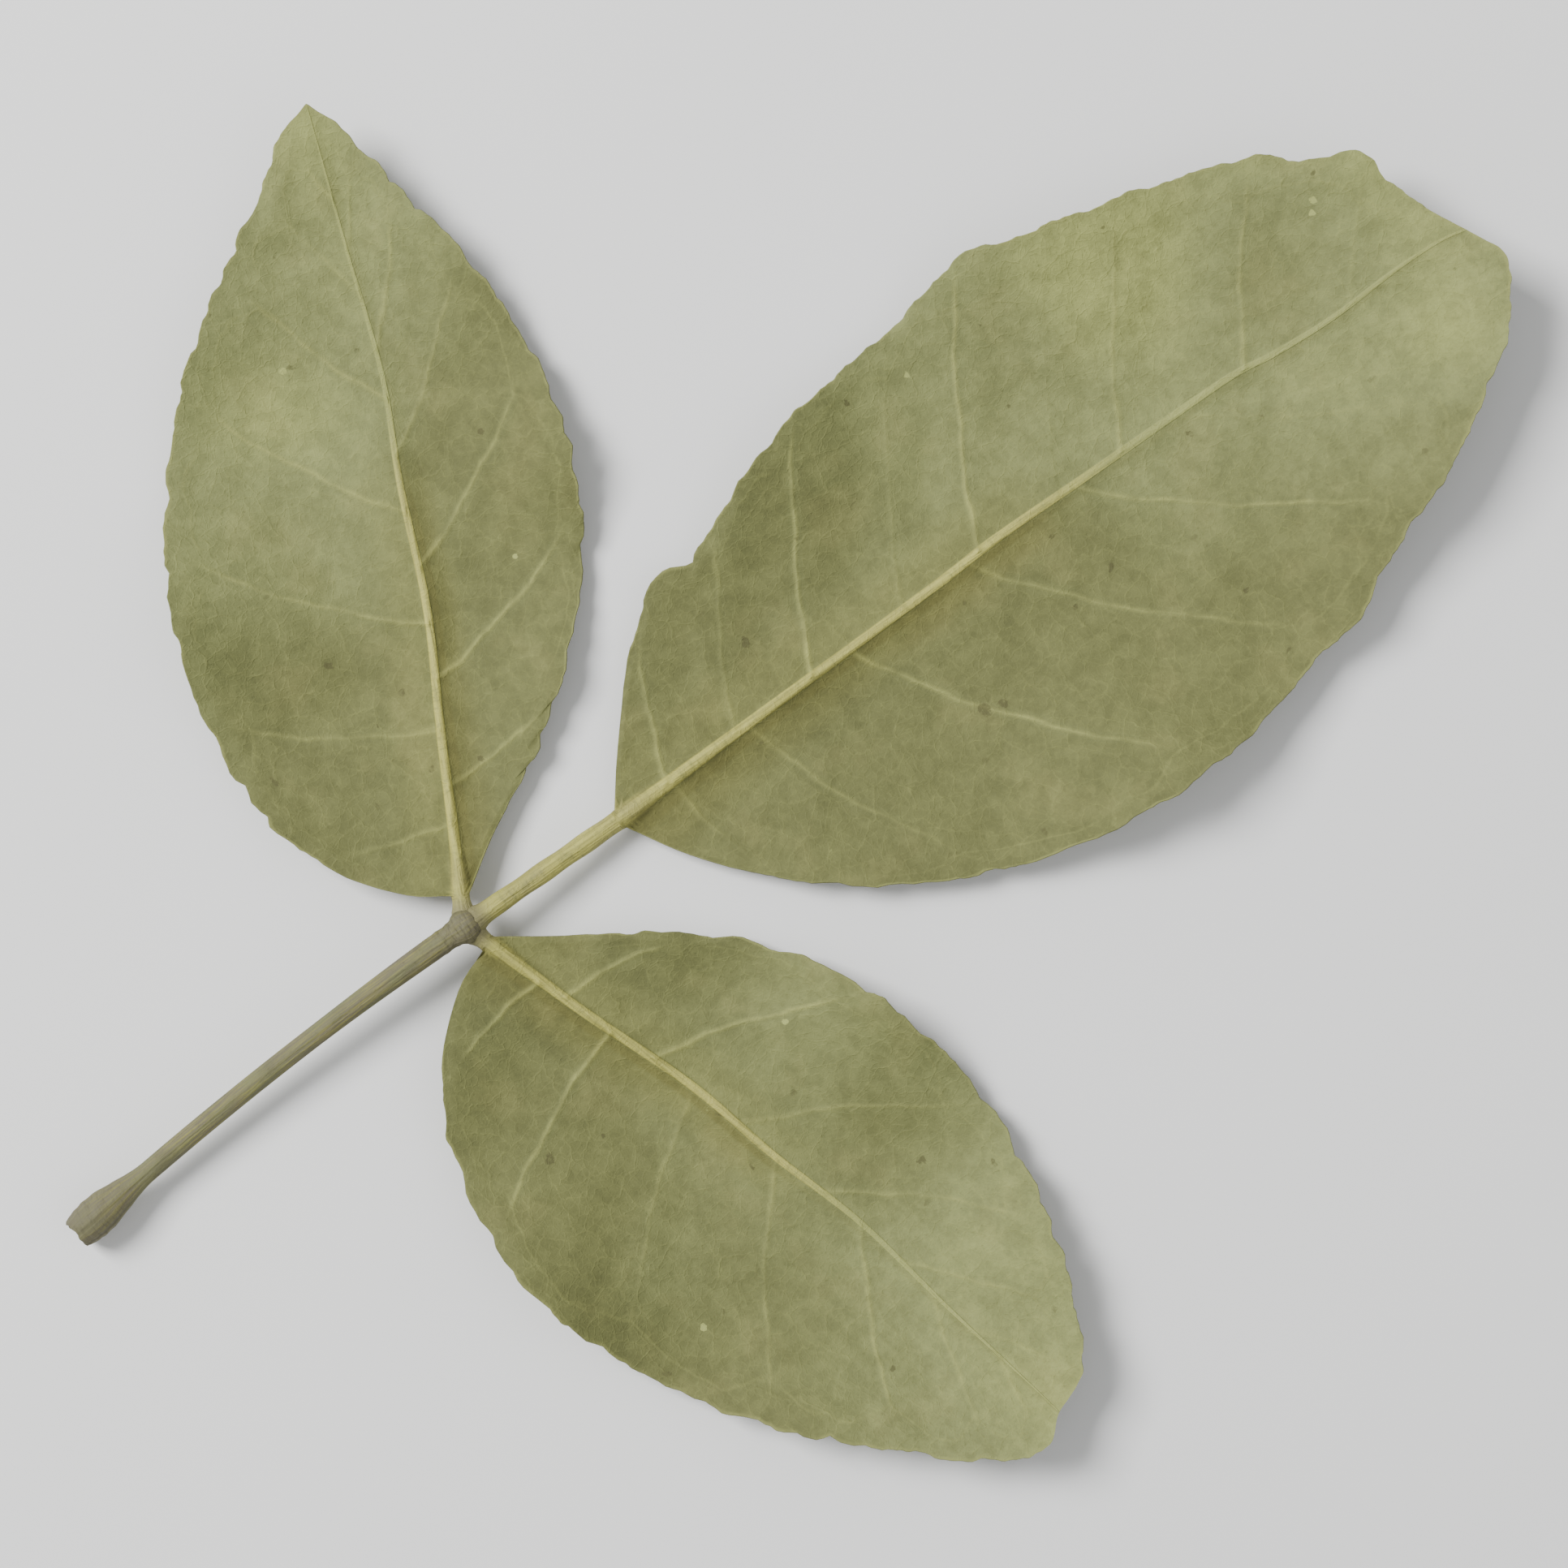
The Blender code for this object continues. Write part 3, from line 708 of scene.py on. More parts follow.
def wrapped_grid(name, spots, flats, values):
    """A grid from Blender, laid over rows of places, closed where its long sides meet, and capped."""
    rows, columns = spots.shape[:2]
    deselect_all()
    bpy.ops.mesh.primitive_grid_add(x_subdivisions=columns - 1, y_subdivisions=rows - 1, size=1.0)
    made = bpy.context.object
    made.name = name
    mesh = made.data
    mesh.name = name
    mesh.vertices.foreach_set("co", (spots.reshape(-1, 3) * MM).astype(np.float32).ravel())
    for key, value in values.items():
        layer = mesh.attributes.new(key, "FLOAT", "POINT")
        layer.data.foreach_set("value", value.astype(np.float32).ravel())
    corners = np.zeros(len(mesh.loops), dtype=np.int64)
    mesh.loops.foreach_get("vertex_index", corners)
    mesh.uv_layers[0].name = "surface"
    places = flats.reshape(-1, 2)[corners] / UV_SPAN
    mesh.uv_layers[0].data.foreach_set("uv", places.astype(np.float32).ravel())
    bpy.ops.object.mode_set(mode="EDIT")
    bpy.ops.mesh.select_all(action="SELECT")
    bpy.ops.mesh.remove_doubles(threshold=MERGE_DISTANCE)
    bpy.ops.mesh.select_all(action="DESELECT")
    bpy.ops.mesh.select_mode(type="EDGE")
    bpy.ops.mesh.select_non_manifold(extend=False)
    bpy.ops.mesh.edge_face_add()
    bpy.ops.mesh.select_all(action="SELECT")
    bpy.ops.mesh.normals_make_consistent(inside=False)
    bpy.ops.object.mode_set(mode="OBJECT")
    bpy.ops.object.shade_smooth_by_angle(angle=SMOOTH_ANGLE)
    return made


def settle(made):
    """Puts an object's place and turn into its mesh, and stops on a mesh that isn't closed."""
    deselect_all()
    made.select_set(True)
    bpy.context.view_layer.objects.active = made
    bpy.ops.object.transform_apply(location=True, rotation=True, scale=True)
    shell = bmesh.new()
    shell.from_mesh(made.data)
    open_edges = sum(1 for edge in shell.edges if not edge.is_manifold)
    volume = shell.calc_volume(signed=True)
    shell.free()
    if open_edges or volume <= 0.0:
        raise RuntimeError(f"{made.name}: {open_edges} open edges, volume {volume}")
    return made


def leaflet_mesh(leaflet, sizes):
    """One leaflet in its place, with its midrib along its own +Y before it is turned."""
    blocks = [stalk_rows(leaflet), blade_rows(leaflet, sizes)]
    blocks.append(tip_row(leaflet, sizes, blocks[-1][2]))
    spots, flats = (np.concatenate([block[part] for block in blocks]) for part in (0, 1))
    values = {
        name: np.concatenate([np.broadcast_to(carried[name], spot.shape[:2]) for spot, _, carried in blocks])
        for name in STALK_VALUES
    }
    turned = np.stack((-spots[:, :, 1], spots[:, :, 0] + leaflet.stalk, spots[:, :, 2]), axis=2)
    made = wrapped_grid(f"{leaflet.name}_blade", turned, flats, values)
    made.rotation_euler.z = math.radians(leaflet.turn)
    made.location = JOINT
    return settle(made)


# The petiole


def petiole_radius(back):
    """Radius at a distance back from the knuckle: a ball, a slim shaft and a swollen, broken end."""
    ball = np.sqrt(np.maximum(KNUCKLE_RADIUS**2 - back**2, 0.0))
    far = back / PETIOLE_LENGTH
    shaft = PETIOLE_RADIUS + PETIOLE_NECK_EXTRA * (1.0 - blend(0.0, 0.4, far))
    shaft = shaft + (PETIOLE_BASE_RADIUS - PETIOLE_RADIUS) * blend(0.8, 0.94, far)
    shaft = shaft - BREAK_TAPER * blend(0.95, 1.0, far) - BREAK_RIM_TAPER * blend(0.986, 1.0, far) ** 2
    joined = (ball**8 + shaft**8) ** 0.125
    return np.where(back <= 0.0, ball, joined)


def petiole_relief(angles, back):
    """Ridges along the shaft, lumps and folds of the knuckle, and rings of the swollen base, as shares."""
    draw = np.random.default_rng(PETIOLE_SEED)
    relief = 0.0
    for count, depth in ((4, 0.03), (9, 0.022), (15, 0.018), (23, 0.012)):
        start = draw.uniform(0.0, 2 * math.pi)
        drift = 0.5 * np.sin(back / draw.uniform(6.0, 14.0) + start)
        strength = 0.6 + 0.4 * np.sin(back / draw.uniform(2.5, 6.0) + 2 * start)
        relief = relief + depth * np.sin(count * angles + drift + start) * strength
    lumps = ripples(angles, (0.07, 3, 0.4), (0.05, 5, 2.0 * back + 1.0))
    folds = ripples(back, (0.045, 7.0, 1.3 * np.sin(2 * angles)), (0.02, 13.0, 2.0 * np.sin(angles)))
    rings = ripples(back, (0.022, 5.0, 1.4 * np.sin(3 * angles) + 1.6 * np.sin(back * 1.3)))
    relief = relief + lumps * np.exp(-((back / 1.1) ** 2)) + folds * np.exp(-(((back - 1.2) / 1.1) ** 2))
    return (relief + rings * blend(0.80, 0.92, back / PETIOLE_LENGTH)) * blend(-1.2, 0.6, back) * 0.8


def petiole_mesh():
    """The petiole: a wrinkled knuckle, a ribbed shaft and a swollen end with a rough break."""
    angles = 2 * math.pi * np.arange(PETIOLE_COLUMNS + 1)[None] / PETIOLE_COLUMNS
    dome = -KNUCKLE_RADIUS * np.cos(np.radians(np.linspace(1.0, 86.0, KNUCKLE_ROWS)))
    back = np.concatenate((dome, np.linspace(0.0, PETIOLE_LENGTH, PETIOLE_ROWS)))[:, None]
    radius = (petiole_radius(back) - PETIOLE_INSET) * (1.0 + petiole_relief(angles, back))

    # The broken end slants and is ragged: rows that close on the pith, with torn fibres
    slant = BREAK_SLANT + ripples(angles, (0.26, 1, 0.6), (0.06, 4, 1.0), (0.04, 9, 0.0))
    inner = np.linspace(1.0, 0.0, BREAK_ROWS)[1:, None]
    fibres = ripples(angles, (0.06, 5, 6.0 * inner), (0.05, 9, 1.0 - 13.0 * inner), (0.04, 17, 21.0 * inner))
    torn = PETIOLE_LENGTH - BREAK_DOME * np.sqrt(1.0 - inner) + fibres * np.sin(math.pi * inner)
    torn = torn - slant * inner - BREAK_SLANT * (1.0 - inner)
    backs = np.concatenate((back - slant * blend(0.90, 1.0, back / PETIOLE_LENGTH), torn))
    core = np.concatenate((np.zeros_like(radius), np.broadcast_to(1.0 - inner, torn.shape)))
    radius = np.concatenate((radius, radius[-1:] * inner))

    far = np.maximum(backs, 0.0) / PETIOLE_LENGTH
    x = PETIOLE_BOW * far**2 + np.cos(angles) * radius
    middle = KNUCKLE_HEIGHT + (PETIOLE_BASE_HEIGHT - KNUCKLE_HEIGHT) * blend(0.0, 1.0, far)
    z = middle + np.sin(angles) * radius
    flats = np.stack((backs, np.broadcast_to(angles * PETIOLE_UNROLLED_RADIUS, backs.shape)), axis=2)
    values = {"core": core, "base": blend(0.76, 0.95, far), "knuckle": 1.0 - blend(0.8, 3.0, backs)}
    made = wrapped_grid("petiole_stalk", np.stack((x, -backs, z), axis=2), flats, values)
    made.location = JOINT
    return settle(made)


# Tools for finishes


class Wire:
    """A socket's value in a finish, so that shader maths reads as Python."""

    def __init__(self, finish, socket):
        self.finish = finish
        self.socket = socket

    def math(self, operation, first, second=0.0):
        return self.finish.add("ShaderNodeMath", {"operation": operation}, {0: first, 1: second})

    def __add__(self, other):
        return self.math("ADD", self, other)

    def __radd__(self, other):
        return self.math("ADD", other, self)

    def __sub__(self, other):
        return self.math("SUBTRACT", self, other)

    def __rsub__(self, other):
        return self.math("SUBTRACT", other, self)

    def __mul__(self, other):
        return self.math("MULTIPLY", self, other)

    def __rmul__(self, other):
        return self.math("MULTIPLY", other, self)

    def __abs__(self):
        return self.math("ABSOLUTE", self)

    def sine(self):
        return self.math("SINE", self)


class Finish:
    """A material, and the nodes that its patterns start from."""

    def __init__(self, name):
        self.material = bpy.data.materials.new(name)
        self.material.use_nodes = True
        self.tree = self.material.node_tree
        self.shader = self.tree.nodes["Principled BSDF"]

    def add(self, kind, settings=None, sockets=None, out=0):
        """A node with these settings, and then with these values or links in its sockets."""
        node = self.tree.nodes.new(kind)
        for name, value in (settings or {}).items():
            setattr(node, name, value)
        for name, value in (sockets or {}).items():
            self.feed(node.inputs[name], value)
        return Wire(self, node.outputs[out])

    def feed(self, socket, value):
        """Links a wire to a socket, or sets a plain value on it."""
        if isinstance(value, Wire):
            self.tree.links.new(value.socket, socket)
        else:
            socket.default_value = value

    def value(self, name):
        """A value that the mesh carries at each place."""
        return self.add("ShaderNodeAttribute", {"attribute_name": name}, out=2)

    def surface(self):
        """The place on the flattened surface, in millimetres."""
        return moved(self.add("ShaderNodeUVMap", {"uv_map": "surface"}), (UV_SPAN, UV_SPAN, 0.0))

    def place(self):
        """The place on the object, in millimetres."""
        return moved(self.add("ShaderNodeTexCoord", out=3), (1.0 / MM, 1.0 / MM, 1.0 / MM))

    def paint(self, colour, roughness, gloss):
        """Gives the shader its colour, its roughness and the strength of its gloss."""
        self.feed(self.shader.inputs["Base Color"], colour)
        self.feed(self.shader.inputs["Roughness"], roughness)
        self.shader.inputs["Specular IOR Level"].default_value = gloss

    def relief(self, height, distance):
        """Fine relief, fed to the surface's normal."""
        bump = self.add("ShaderNodeBump", {}, {"Height": height, "Distance": distance * MM})
        self.feed(self.shader.inputs["Normal"], bump)


def moved(vector, stretch, shift=(0.0, 0.0, 0.0)):
    """A vector stretched along each axis, and then shifted."""
    sockets = {0: vector, 1: stretch, 2: shift}
    return vector.finish.add("ShaderNodeVectorMath", {"operation": "MULTIPLY_ADD"}, sockets)


def axis(vector, number):
    """One axis of a vector."""
    return vector.finish.add("ShaderNodeSeparateXYZ", {}, {0: vector}, out=number)


def noise(vector, size, detail=3.0, roughness=0.55, out=0):
    """Cloudy noise from 0 to 1 whose blots are about this many millimetres."""
    sockets = {"Vector": vector, "Scale": 1.0 / size, "Detail": detail, "Roughness": roughness}
    return vector.finish.add("ShaderNodeTexNoise", {}, sockets, out)


def swing(noise_value, amount):
    """Noise as a swing round 0."""
    return (noise_value - 0.5) * amount


def cells(vector, width, feature="DISTANCE_TO_EDGE", out=0):
    """How many widths away the walls or centres of cells are, or each cell's own tone."""
    settings = {"feature": feature, "voronoi_dimensions": "2D"}
    return vector.finish.add("ShaderNodeTexVoronoi", settings, {"Vector": vector, "Scale": 1.0 / width}, out)


def ramp(value, low, high, start=0.0, end=1.0):
    """An even slide from start to end while the value goes from low to high."""
    sockets = {0: value, 1: low, 2: high, 3: start, 4: end}
    return value.finish.add("ShaderNodeMapRange", {"interpolation_type": "SMOOTHSTEP"}, sockets)


def round_places(vector, places, inner, outer):
    """The sum of round places, each full inside one share of its radius and gone outside another."""
    total = 0.0
    for along, across, radius, *change in places:
        sockets = {0: vector, 1: (along, across, 0.0)}
        gap = vector.finish.add("ShaderNodeVectorMath", {"operation": "DISTANCE"}, sockets, out=1)
        total = total + ramp(gap, radius * outer, radius * inner) * (change[0] if change else 1.0)
    return total


def mix(first, second, share):
    """A colour between two colours."""
    first, second = (colour if isinstance(colour, Wire) else (*colour, 1.0) for colour in (first, second))
    return share.finish.add("ShaderNodeMix", {"data_type": "RGBA"}, {0: share, 6: first, 7: second}, out=2)


def layered(colour, *layers):
    """A colour under layers of other colours, each with its share."""
    for layer, share in layers:
        colour = mix(colour, layer, share)
    return colour


def shaded(colour, shade):
    """A colour made lighter or darker by a value, or by a colour, round 1."""
    settings = {"data_type": "RGBA", "blend_type": "MULTIPLY"}
    return colour.finish.add("ShaderNodeMix", settings, {0: 1.0, 6: colour, 7: shade}, out=2)


# Finishes


def blade_values(finish, leaflet):
    """What a leaflet's finish reads at each place: values of the mesh, noise, veins and specks."""
    here = SimpleNamespace(**{name: finish.value(name) for name in STALK_VALUES})
    here.flat = finish.surface()
    here.spot = moved(here.flat, (1.0, 1.0, 0.0), (leaflet.seed * 7.3, leaflet.seed * 3.1, 0.0))
    here.warp = noise(here.spot, WARP_SIZE, roughness=0.5, out=1)
    bent = moved(here.warp, (WARP, WARP, 0.0), here.spot)

    # Noise from wide clouds to the finest grain
    here.clouds = noise(here.spot, 16.0, 2.0)
    here.blots = noise(here.spot, 4.2, 4.0, 0.62)
    here.flecks = noise(here.spot, 1.5, 4.0, 0.7)
    here.grain = noise(here.spot, 0.4, 3.0, 0.7)
    here.fine = noise(here.spot, 0.12, 2.0, 0.6)

    # The net of veins, the fields that it bounds, oil glands and loose specks
    here.net = ramp(cells(bent, NET_WIDTH) * NET_WIDTH, 0.10, 0.015)
    here.small_net = ramp(cells(bent, SMALL_NET_WIDTH) * SMALL_NET_WIDTH, 0.07, 0.0)
    here.fields = cells(bent, NET_WIDTH, "F1", out=1)
    here.islands = cells(bent, SMALL_NET_WIDTH, "F1", out=1)
    here.glands = ramp(cells(here.spot, GLAND_STEP, "F1") * GLAND_STEP, 0.10, 0.05)
    speck_size = ramp(cells(bent, SPECK_STEP, "F1", out=1), 0.35, 0.75, 0.0, 0.20)
    speck_gap = cells(bent, SPECK_STEP, "F1") * SPECK_STEP + swing(here.flecks, 0.8) - speck_size
    here.specks = ramp(speck_gap, 0.08, -0.05) * ramp(noise(here.spot, 11.0, 1.0), 0.44, 0.6)

    # The midrib, a painted shadow on the strip along its right side, the side ribs with painted shade beside
    # them, and the loops that join them near the edge
    here.left = ramp(here.side, -0.6, 0.6)
    here.right = 1.0 - here.left
    here.base_half = ramp(here.share, 0.56, 0.44)
    here.midrib = ramp(here.midrib_gap, 1.05, 0.75)
    # A painted shadow of the midrib, on a strip along its right side
    here.strip = ramp(here.midrib_gap, 3.3, 2.2) * ramp(here.midrib_gap, 0.95, 1.45) * here.right
    power = here.rib_power * ramp(noise(here.spot, 3.2, 2.0), 0.36, 0.58, 0.45, 1.0)
    here.rib = ramp(here.rib_gap + swing(here.flecks, 0.5), 1.50, 0.30) * power
    here.rib_core = ramp(here.rib_gap + swing(here.grain, 0.3), 0.50, 0.10) * power
    # Painted shade on the blade beside each side rib
    here.beside_rib = ramp(here.rib_gap, 3.2, 1.4) * (here.rib_power - here.rib)
    bow = abs((here.rib_turn * math.pi).sine())
    loop_gap = abs(here.edge_gap - (3.2 - bow * 1.7) + swing(here.blots, 1.2))
    here.loops = ramp(loop_gap, 0.20, 0.03) * ramp(here.share, 0.05, 0.2) * ramp(here.blots, 0.35, 0.55)
    here.streaks = noise(moved(here.spot, (0.10, 1.8, 0.0)), 0.4, 3.0, 0.6)
    return here


def underside(here, leaflet, colours):
    """The pale underside, yellowed near the base, with its net, glands and side ribs, and with painted light
    and shade beside the midrib.
    """
    # Yellower towards the base; the term across the blade is painted light and shade, paler on the left half
    # and darker on the right
    tone = here.share * 0.86 - 0.27 + axis(here.flat, 1) * 0.012 + swing(here.clouds, 0.45)
    # Wide soft places, partly real stains and partly painted light and shade
    tone = tone + round_places(here.flat, leaflet.stains_and_painted_light, 0.0, 1.0)
    tan = [channel * by for channel, by in zip(colours.pale, (1.03, 0.90, 0.96))]
    body = layered(
        colours.yellow,
        (colours.green, ramp(tone, -0.12, 0.36)),
        (colours.pale, ramp(tone, 0.26, 0.86)),
        (tan, ramp(noise(here.spot, 5.5), 0.52, 0.68) * 0.13),
        (colours.rib, here.net * 0.10 + here.small_net * 0.09),
        (colours.yellow * 0.9, here.glands * 0.14),
        (colours.rib, here.loops * 0.20),
        # painted shade beside the side ribs
        (colours.green * 0.84, here.beside_rib * 0.22),
        (colours.rib, here.rib * (0.60 - here.share * 0.2)),
        (colours.rib * 1.18, here.rib_core * 0.3),
    )
    # Painted light and shade of the fold by the midrib: lighter on the left half, darker and yellower on the
    # right
    painted_fold_light = layered(
        WHITE,
        (PAINTED_LEFT_LIGHT, ramp(here.midrib_gap, 12.0, 3.5) * here.base_half * here.left),
        (PAINTED_RIGHT_SHADE, ramp(here.midrib_gap, 10.0, 3.5) * here.base_half * here.right),
    )
    # The painted shadow of the midrib: dark straw on a strip along its right side, strongest near the base
    strip = here.strip * (0.16 + here.base_half * 0.42) * (1.0 - here.rib * 0.8)
    body = mix(shaded(body, painted_fold_light), colours.straw * 0.28, strip)
    mottle = swing(here.clouds, 0.20) - swing(here.blots, 0.44) + swing(here.flecks, 0.34)
    mottle = mottle + swing(here.grain, 0.32) + swing(here.fine, 0.20)
    mottle = mottle + ramp(here.flecks, 0.41, 0.59, -0.05, 0.05)
    return shaded(body, 1.0 + mottle + swing(here.fields, 0.07) + swing(here.islands, 0.10))


def marked(body, here, leaflet, colours):
    """The underside with its bruises, pale flecks and specks, and a pale edge that is a painted highlight.
    """
    torn = moved(here.warp, (TEAR, TEAR, 0.0), here.flat)
    torn = moved(torn, (1.0, 1.0, 0.0), (-TEAR / 2, -TEAR / 2, 0.0))
    ragged = swing(here.flecks, 1.8) + swing(here.grain, 3.2)
    dark = ramp(round_places(torn, leaflet.bruises, 0.5, 1.5) + ragged, 0.30, 0.95)
    dark = dark * round_places(torn, leaflet.bruises, 1.1, 3.3)
    pale = ramp(round_places(torn, leaflet.flecks, 0.5, 1.5) + ragged * 0.5, 0.35, 0.75)
    bruised = ramp(noise(here.spot, 3.0, 6.0, 0.75), 0.64, 0.76)
    return layered(
        body,
        (colours.speck, dark * 0.62),
        (colours.pale * 1.35, pale * 0.7),
        (colours.speck, here.specks * ramp(here.grain, 0.36, 0.56, 0.15, 0.62)),
        (colours.yellow * 0.68, bruised * 0.42),
        # A painted highlight along the edge, broken up by blots
        (colours.rib * 1.05, ramp(here.edge_gap, 0.30, 0.05) * ramp(here.blots, 0.38, 0.6) * 0.5),
    )


def vein_wood(here, leaflet, colours):
    """The midrib and the stalk: streaked straw, pale green towards the tip, and brown at the joint."""
    steps = noise(moved(here.spot, (1.3, 0.5, 0.0)), 0.55, 3.0, 0.6)
    joint = ramp(axis(here.flat, 0), 2.6 - leaflet.stalk, 1.0 - leaflet.stalk)
    wood = layered(
        colours.straw,
        (colours.straw * 0.68, ramp(here.streaks, 0.42, 0.68)),
        (colours.yellow * 1.25, ramp(steps, 0.50, 0.70) * 0.45),
        (colours.pale, ramp(here.share, 0.48, 0.66) * 0.88),
    )
    wood = shaded(wood, 1.0 + round_places(here.flat, leaflet.bright, 0.0, 1.0))
    return mix(wood, colours.brown * 1.3, joint * 0.75)


def upper_face(here, colours):
    """The darker upper face, which lies down."""
    return layered(
        colours.upper,
        (colours.upper * 1.45, ramp(here.clouds, 0.35, 0.7)),
        (colours.upper * 0.70, ramp(here.blots, 0.5, 0.75) * 0.6),
        (colours.upper * 1.3, ramp(here.grain, 0.5, 0.7) * 0.3),
        (colours.yellow * 1.1, here.net * 0.28 + here.rib * 0.5 + here.small_net * 0.10),
        (colours.straw * 0.5, here.midrib * 0.8),
        (colours.speck, here.specks * 0.6),
    )


def blade_finish(leaflet, colours):
    """A leaflet: mottled olive, straw midrib, pale side ribs, a fine net, specks and a darker upper face."""
    finish = Finish(f"{leaflet.name}_skin")
    here = blade_values(finish, leaflet)
    wood = vein_wood(here, leaflet, colours)
    under = layered(
        marked(underside(here, leaflet, colours), here, leaflet, colours),
        (wood, here.midrib * (1.0 - here.share * 0.35)),
        (mix(wood, colours.brown * 1.25, ramp(here.blots, 0.4, 0.7) * 0.5), here.stalk),
    )
    colour = mix(under, upper_face(here, colours), ramp(here.upper, 0.55, 0.95) * (1.0 - here.stalk))
    roughness = 0.80 - here.midrib * 0.18 - here.upper * 0.24 + swing(here.grain, 0.14)
    finish.paint(colour, roughness, 0.28)
    veins = here.net * 0.14 + here.small_net * 0.13 + here.loops * 0.10 - here.glands * 0.12
    wood_relief = (here.midrib + here.stalk) * here.streaks * 0.8
    finish.relief(veins + here.flecks * 0.5 + here.grain * 0.35 + here.fine * 0.18 + wood_relief, 0.08)
    return finish.material


def petiole_finish(colours):
    """The petiole's dry skin: olive brown with long paler fibres, a greyer swollen base and a pale break."""
    finish = Finish("petiole_skin")
    flat = finish.surface()
    base, core, knuckle = (finish.value(name) for name in ("base", "core", "knuckle"))
    fibres = noise(moved(flat, (0.09, 1.7, 0.0)), 0.30, 4.0, 0.62)
    bands = noise(moved(flat, (0.25, 0.8, 0.0)), 1.3)
    blots = noise(flat, 3.2)
    grain = noise(flat, 0.30, 3.0, 0.7)
    folds = noise(moved(flat, (1.3, 0.35, 0.0)), 0.30, 3.0, 0.6)
    skin = layered(
        colours.brown,
        (colours.straw * 0.55, ramp(fibres, 0.42, 0.66) * 0.85),
        (colours.green * 0.72, ramp(bands, 0.42, 0.62) * 0.55),
        (colours.brown * 0.62, ramp(blots, 0.50, 0.66) * 0.4),
        (colours.brown * 0.42, ramp(grain, 0.58, 0.74) * 0.45),
        (colours.brown * 0.85, base * 0.6),
        (colours.brown * 0.95, knuckle * 0.55),
        (colours.brown * 0.5, ramp(folds, 0.48, 0.36) * (knuckle * 0.6 + base * 0.35)),
    )

    # The break: a wood ring round a paler, spongy pith
    section = finish.place()
    pores = noise(section, 0.16, 3.0, 0.7)
    shreds = noise(section, 0.7, 3.0, 0.6)
    wood = mix(colours.straw * 0.62, colours.brown * 1.1, ramp(shreds, 0.42, 0.62))
    pith = mix(colours.straw * 0.95, colours.brown * 1.3, ramp(shreds, 0.45, 0.7) * 0.6)
    torn = layered(
        wood,
        (pith, ramp(core, 0.40, 0.55)),
        (colours.brown * 0.5, ramp(pores, 0.52, 0.40) * 0.5),
    )
    inside = ramp(core, 0.03, 0.12)
    finish.paint(mix(skin, torn, inside), 0.66 + swing(grain, 0.2), 0.35)
    creases = folds * (knuckle + base * 0.5) + fibres * (0.8 - knuckle * 0.5)
    finish.relief((creases + grain * 0.5) * (1.0 - inside) + pores * inside * 1.2, 0.10)
    return finish.material


def floor_finish(colours):
    """A plain pale surface with only a trace of unevenness."""
    finish = Finish("pale_floor")
    cloud = noise(finish.place(), FLOOR_BLOT, roughness=0.5)
    finish.paint(mix(colours.floor, colours.floor * 0.97, cloud), 0.85, 0.2)
    return finish.material


# The stage


def add_lamp(name, place, target, size, power):
    """A square soft lamp that looks at a place."""
    lamp = bpy.data.lights.new(name, "AREA")
    lamp.size = size
    lamp.energy = power
    made = bpy.data.objects.new(name, lamp)
    bpy.context.scene.collection.objects.link(made)
    made.location = place
    made.rotation_euler = (target - place).to_track_quat("-Z", "Y").to_euler()


def add_room(strength):
    """Even light from all round."""
    world = bpy.data.worlds.new("room")
    world.use_nodes = True
    background = world.node_tree.nodes["Background"]
    background.inputs["Color"].default_value = ROOM_COLOUR
    background.inputs["Strength"].default_value = strength
    bpy.context.scene.world = world


def add_camera(right, up, height, stage):
    """A camera straight over the leaf, turned with the picture, that frames the solids."""
    corners = []
    for node in ("petiole", *(leaflet.name for leaflet in LEAFLETS)):
        corners += [vertex.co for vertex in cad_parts[node].data.vertices]
    place = Vector((0.0, 0.0, 0.0))
    width = 0.0
    for line in (right, up):
        values = [corner.dot(line) for corner in corners]
        place += line * ((min(values) + max(values)) / 2)
        width = max(width, (max(values) - min(values)) * FRAME_MARGIN)
    place.z = height + width * stage.lens / SENSOR
    camera = bpy.data.cameras.new("camera")
    camera.lens = stage.lens
    camera.sensor_width = SENSOR
    camera.sensor_height = SENSOR
    camera.sensor_fit = "HORIZONTAL"
    camera.clip_start = 0.01
    made = bpy.data.objects.new("camera", camera)
    bpy.context.scene.collection.objects.link(made)
    made.location = place
    made.rotation_euler = (0.0, 0.0, stage.roll)
    bpy.context.scene.camera = made


# Operators and panel


class LEAF_OT_leaflets(bpy.types.Operator):
    """Builds the end leaflet and the two side leaflets"""

    bl_idname = "leaf.leaflets"
    bl_label = "Leaflets"

    def execute(self, context):
        for leaflet in LEAFLETS:
            made = leaflet_mesh(leaflet, context.scene.leaf_sizes.in_mm())
            made.data.materials.append(blade_finish(leaflet, context.scene.leaf_colours))
            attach(made, "root")
            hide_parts(leaflet.name)
        return {"FINISHED"}


class LEAF_OT_petiole(bpy.types.Operator):
    """Builds the petiole with its knuckle and its broken end"""

    bl_idname = "leaf.petiole"
    bl_label = "Petiole"

    def execute(self, context):
        made = petiole_mesh()
        made.data.materials.append(petiole_finish(context.scene.leaf_colours))
        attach(made, "root")
        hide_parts("petiole")
        return {"FINISHED"}


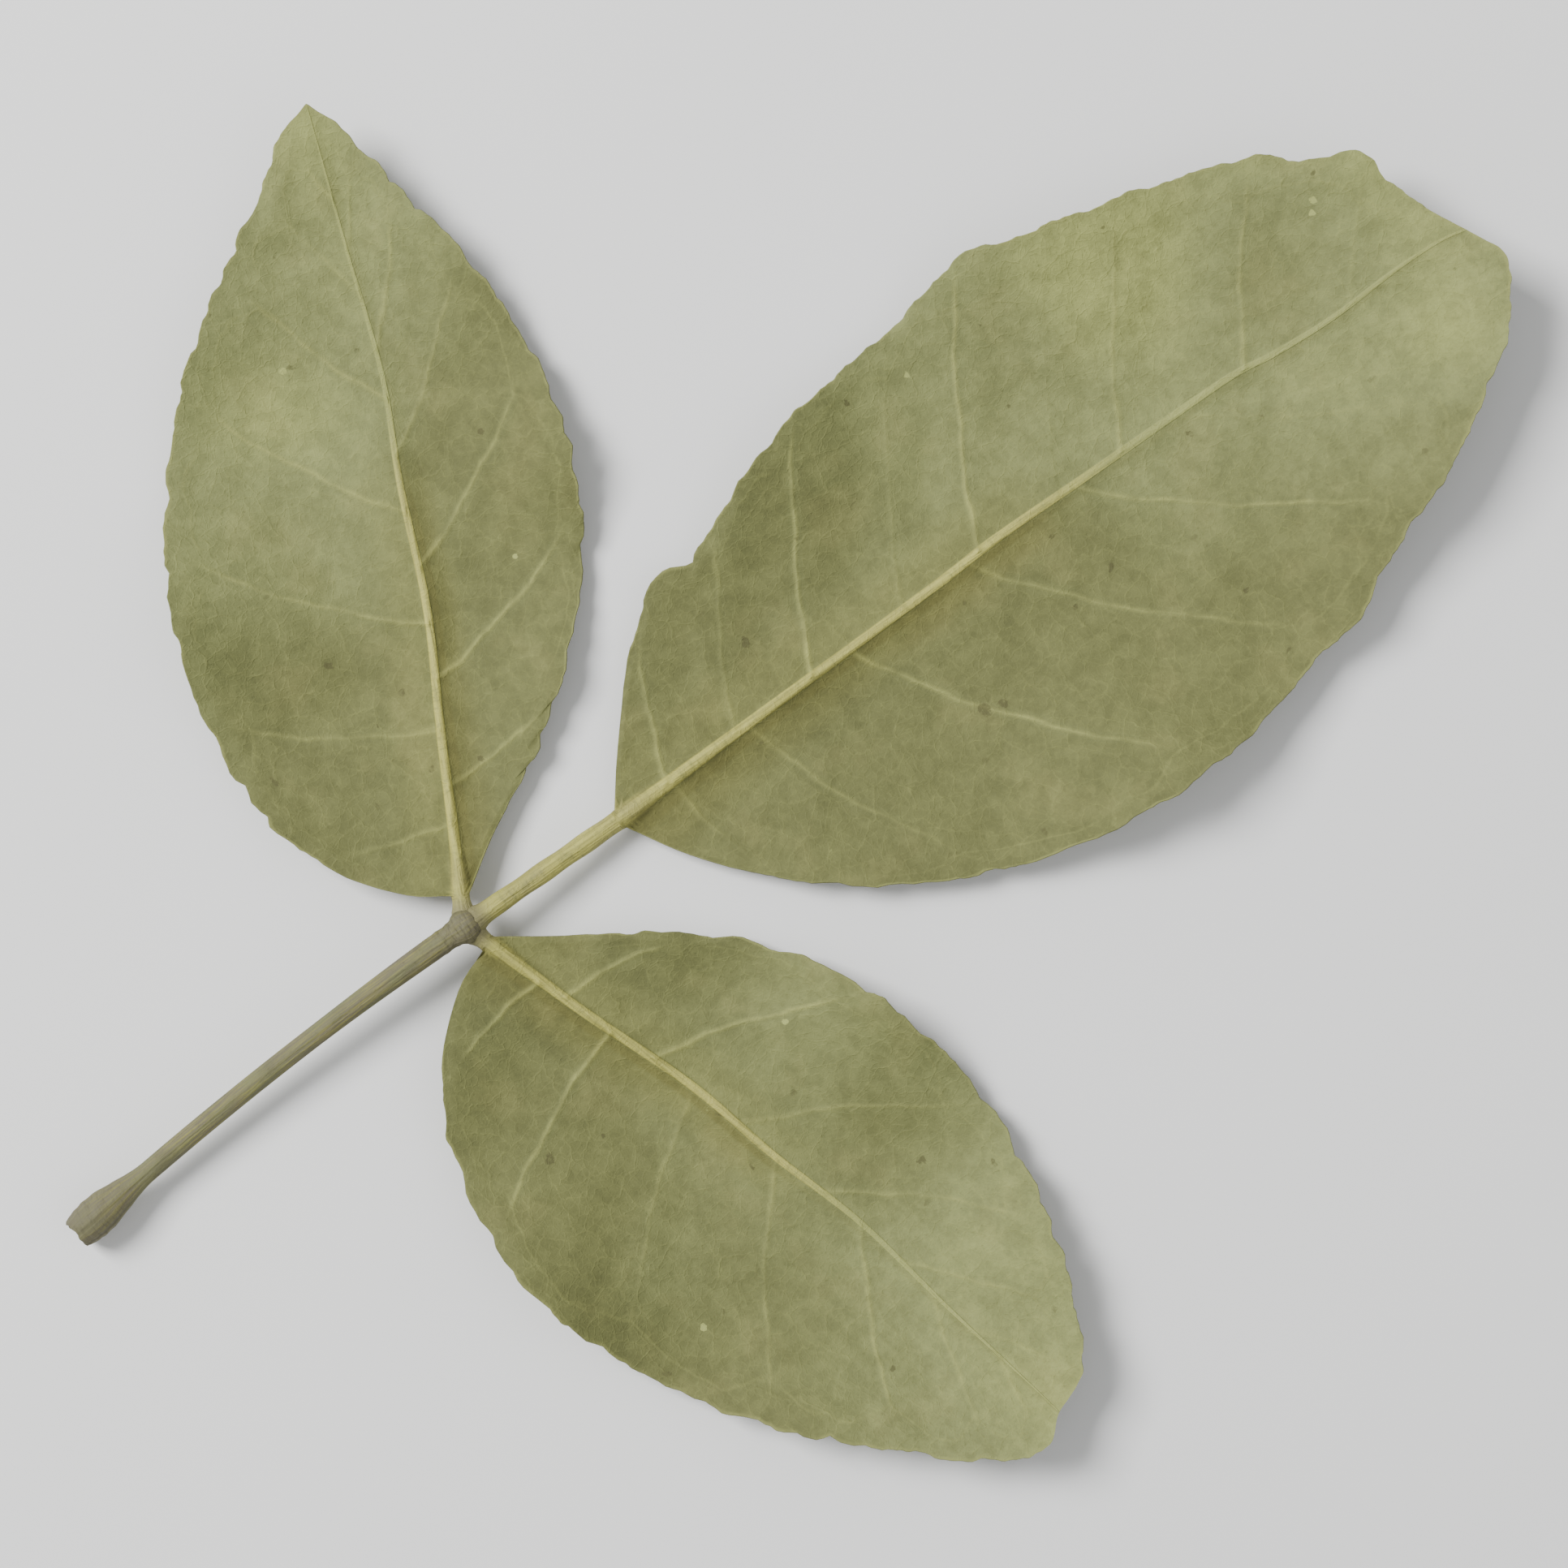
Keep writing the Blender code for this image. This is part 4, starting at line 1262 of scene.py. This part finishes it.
class LEAF_OT_stage(bpy.types.Operator):
    """Adds the pale floor, the soft light and the camera"""

    bl_idname = "leaf.stage"
    bl_label = "Stage"

    def execute(self, context):
        stage = context.scene.leaf_stage
        centre = (Vector(CAD_BOX[0]) + Vector(CAD_BOX[1])) / 2
        right = Vector((math.cos(stage.roll), math.sin(stage.roll), 0.0))
        up = Vector((-math.sin(stage.roll), math.cos(stage.roll), 0.0))
        over = Vector((0.0, 0.0, 1.0))
        deselect_all()
        bpy.ops.mesh.primitive_plane_add(size=FLOOR_WIDTH, location=(0.0, 0.0, 0.0))
        floor = context.object
        floor.name = "floor"
        floor.data.materials.append(floor_finish(context.scene.leaf_colours))
        for name, (x, y, z), width in LAMPS:
            place = centre + right * x + up * y + over * z
            add_lamp(f"{name}_light", place, centre, width, getattr(stage, name))
        add_room(stage.sky)
        add_camera(right, up, centre.z, stage)
        return {"FINISHED"}


class LEAF_PT_panel(bpy.types.Panel):
    """Settings and steps of the leaf"""

    bl_label = "Bael leaf"
    bl_idname = "LEAF_PT_panel"
    bl_space_type = "VIEW_3D"
    bl_region_type = "UI"
    bl_category = "Leaf"

    def draw(self, context):
        for group in (context.scene.leaf_sizes, context.scene.leaf_colours, context.scene.leaf_stage):
            box = self.layout.box()
            for name in group.__annotations__:
                box.prop(group, name)
        for step in STEPS:
            self.layout.operator(step.bl_idname)


STEPS = (LEAF_OT_leaflets, LEAF_OT_petiole, LEAF_OT_stage)
CLASSES = (LeafSizes, LeafColours, StageSettings, *STEPS, LEAF_PT_panel)


def register():
    for kind in CLASSES:
        bpy.utils.register_class(kind)
    bpy.types.Scene.leaf_sizes = PointerProperty(type=LeafSizes)
    bpy.types.Scene.leaf_colours = PointerProperty(type=LeafColours)
    bpy.types.Scene.leaf_stage = PointerProperty(type=StageSettings)


def unregister():
    del bpy.types.Scene.leaf_stage
    del bpy.types.Scene.leaf_colours
    del bpy.types.Scene.leaf_sizes
    for kind in reversed(CLASSES):
        bpy.utils.unregister_class(kind)


def main():
    register()
    bpy.ops.leaf.leaflets()
    bpy.ops.leaf.petiole()
    bpy.ops.leaf.stage()


if __name__ == "__main__":
    main()
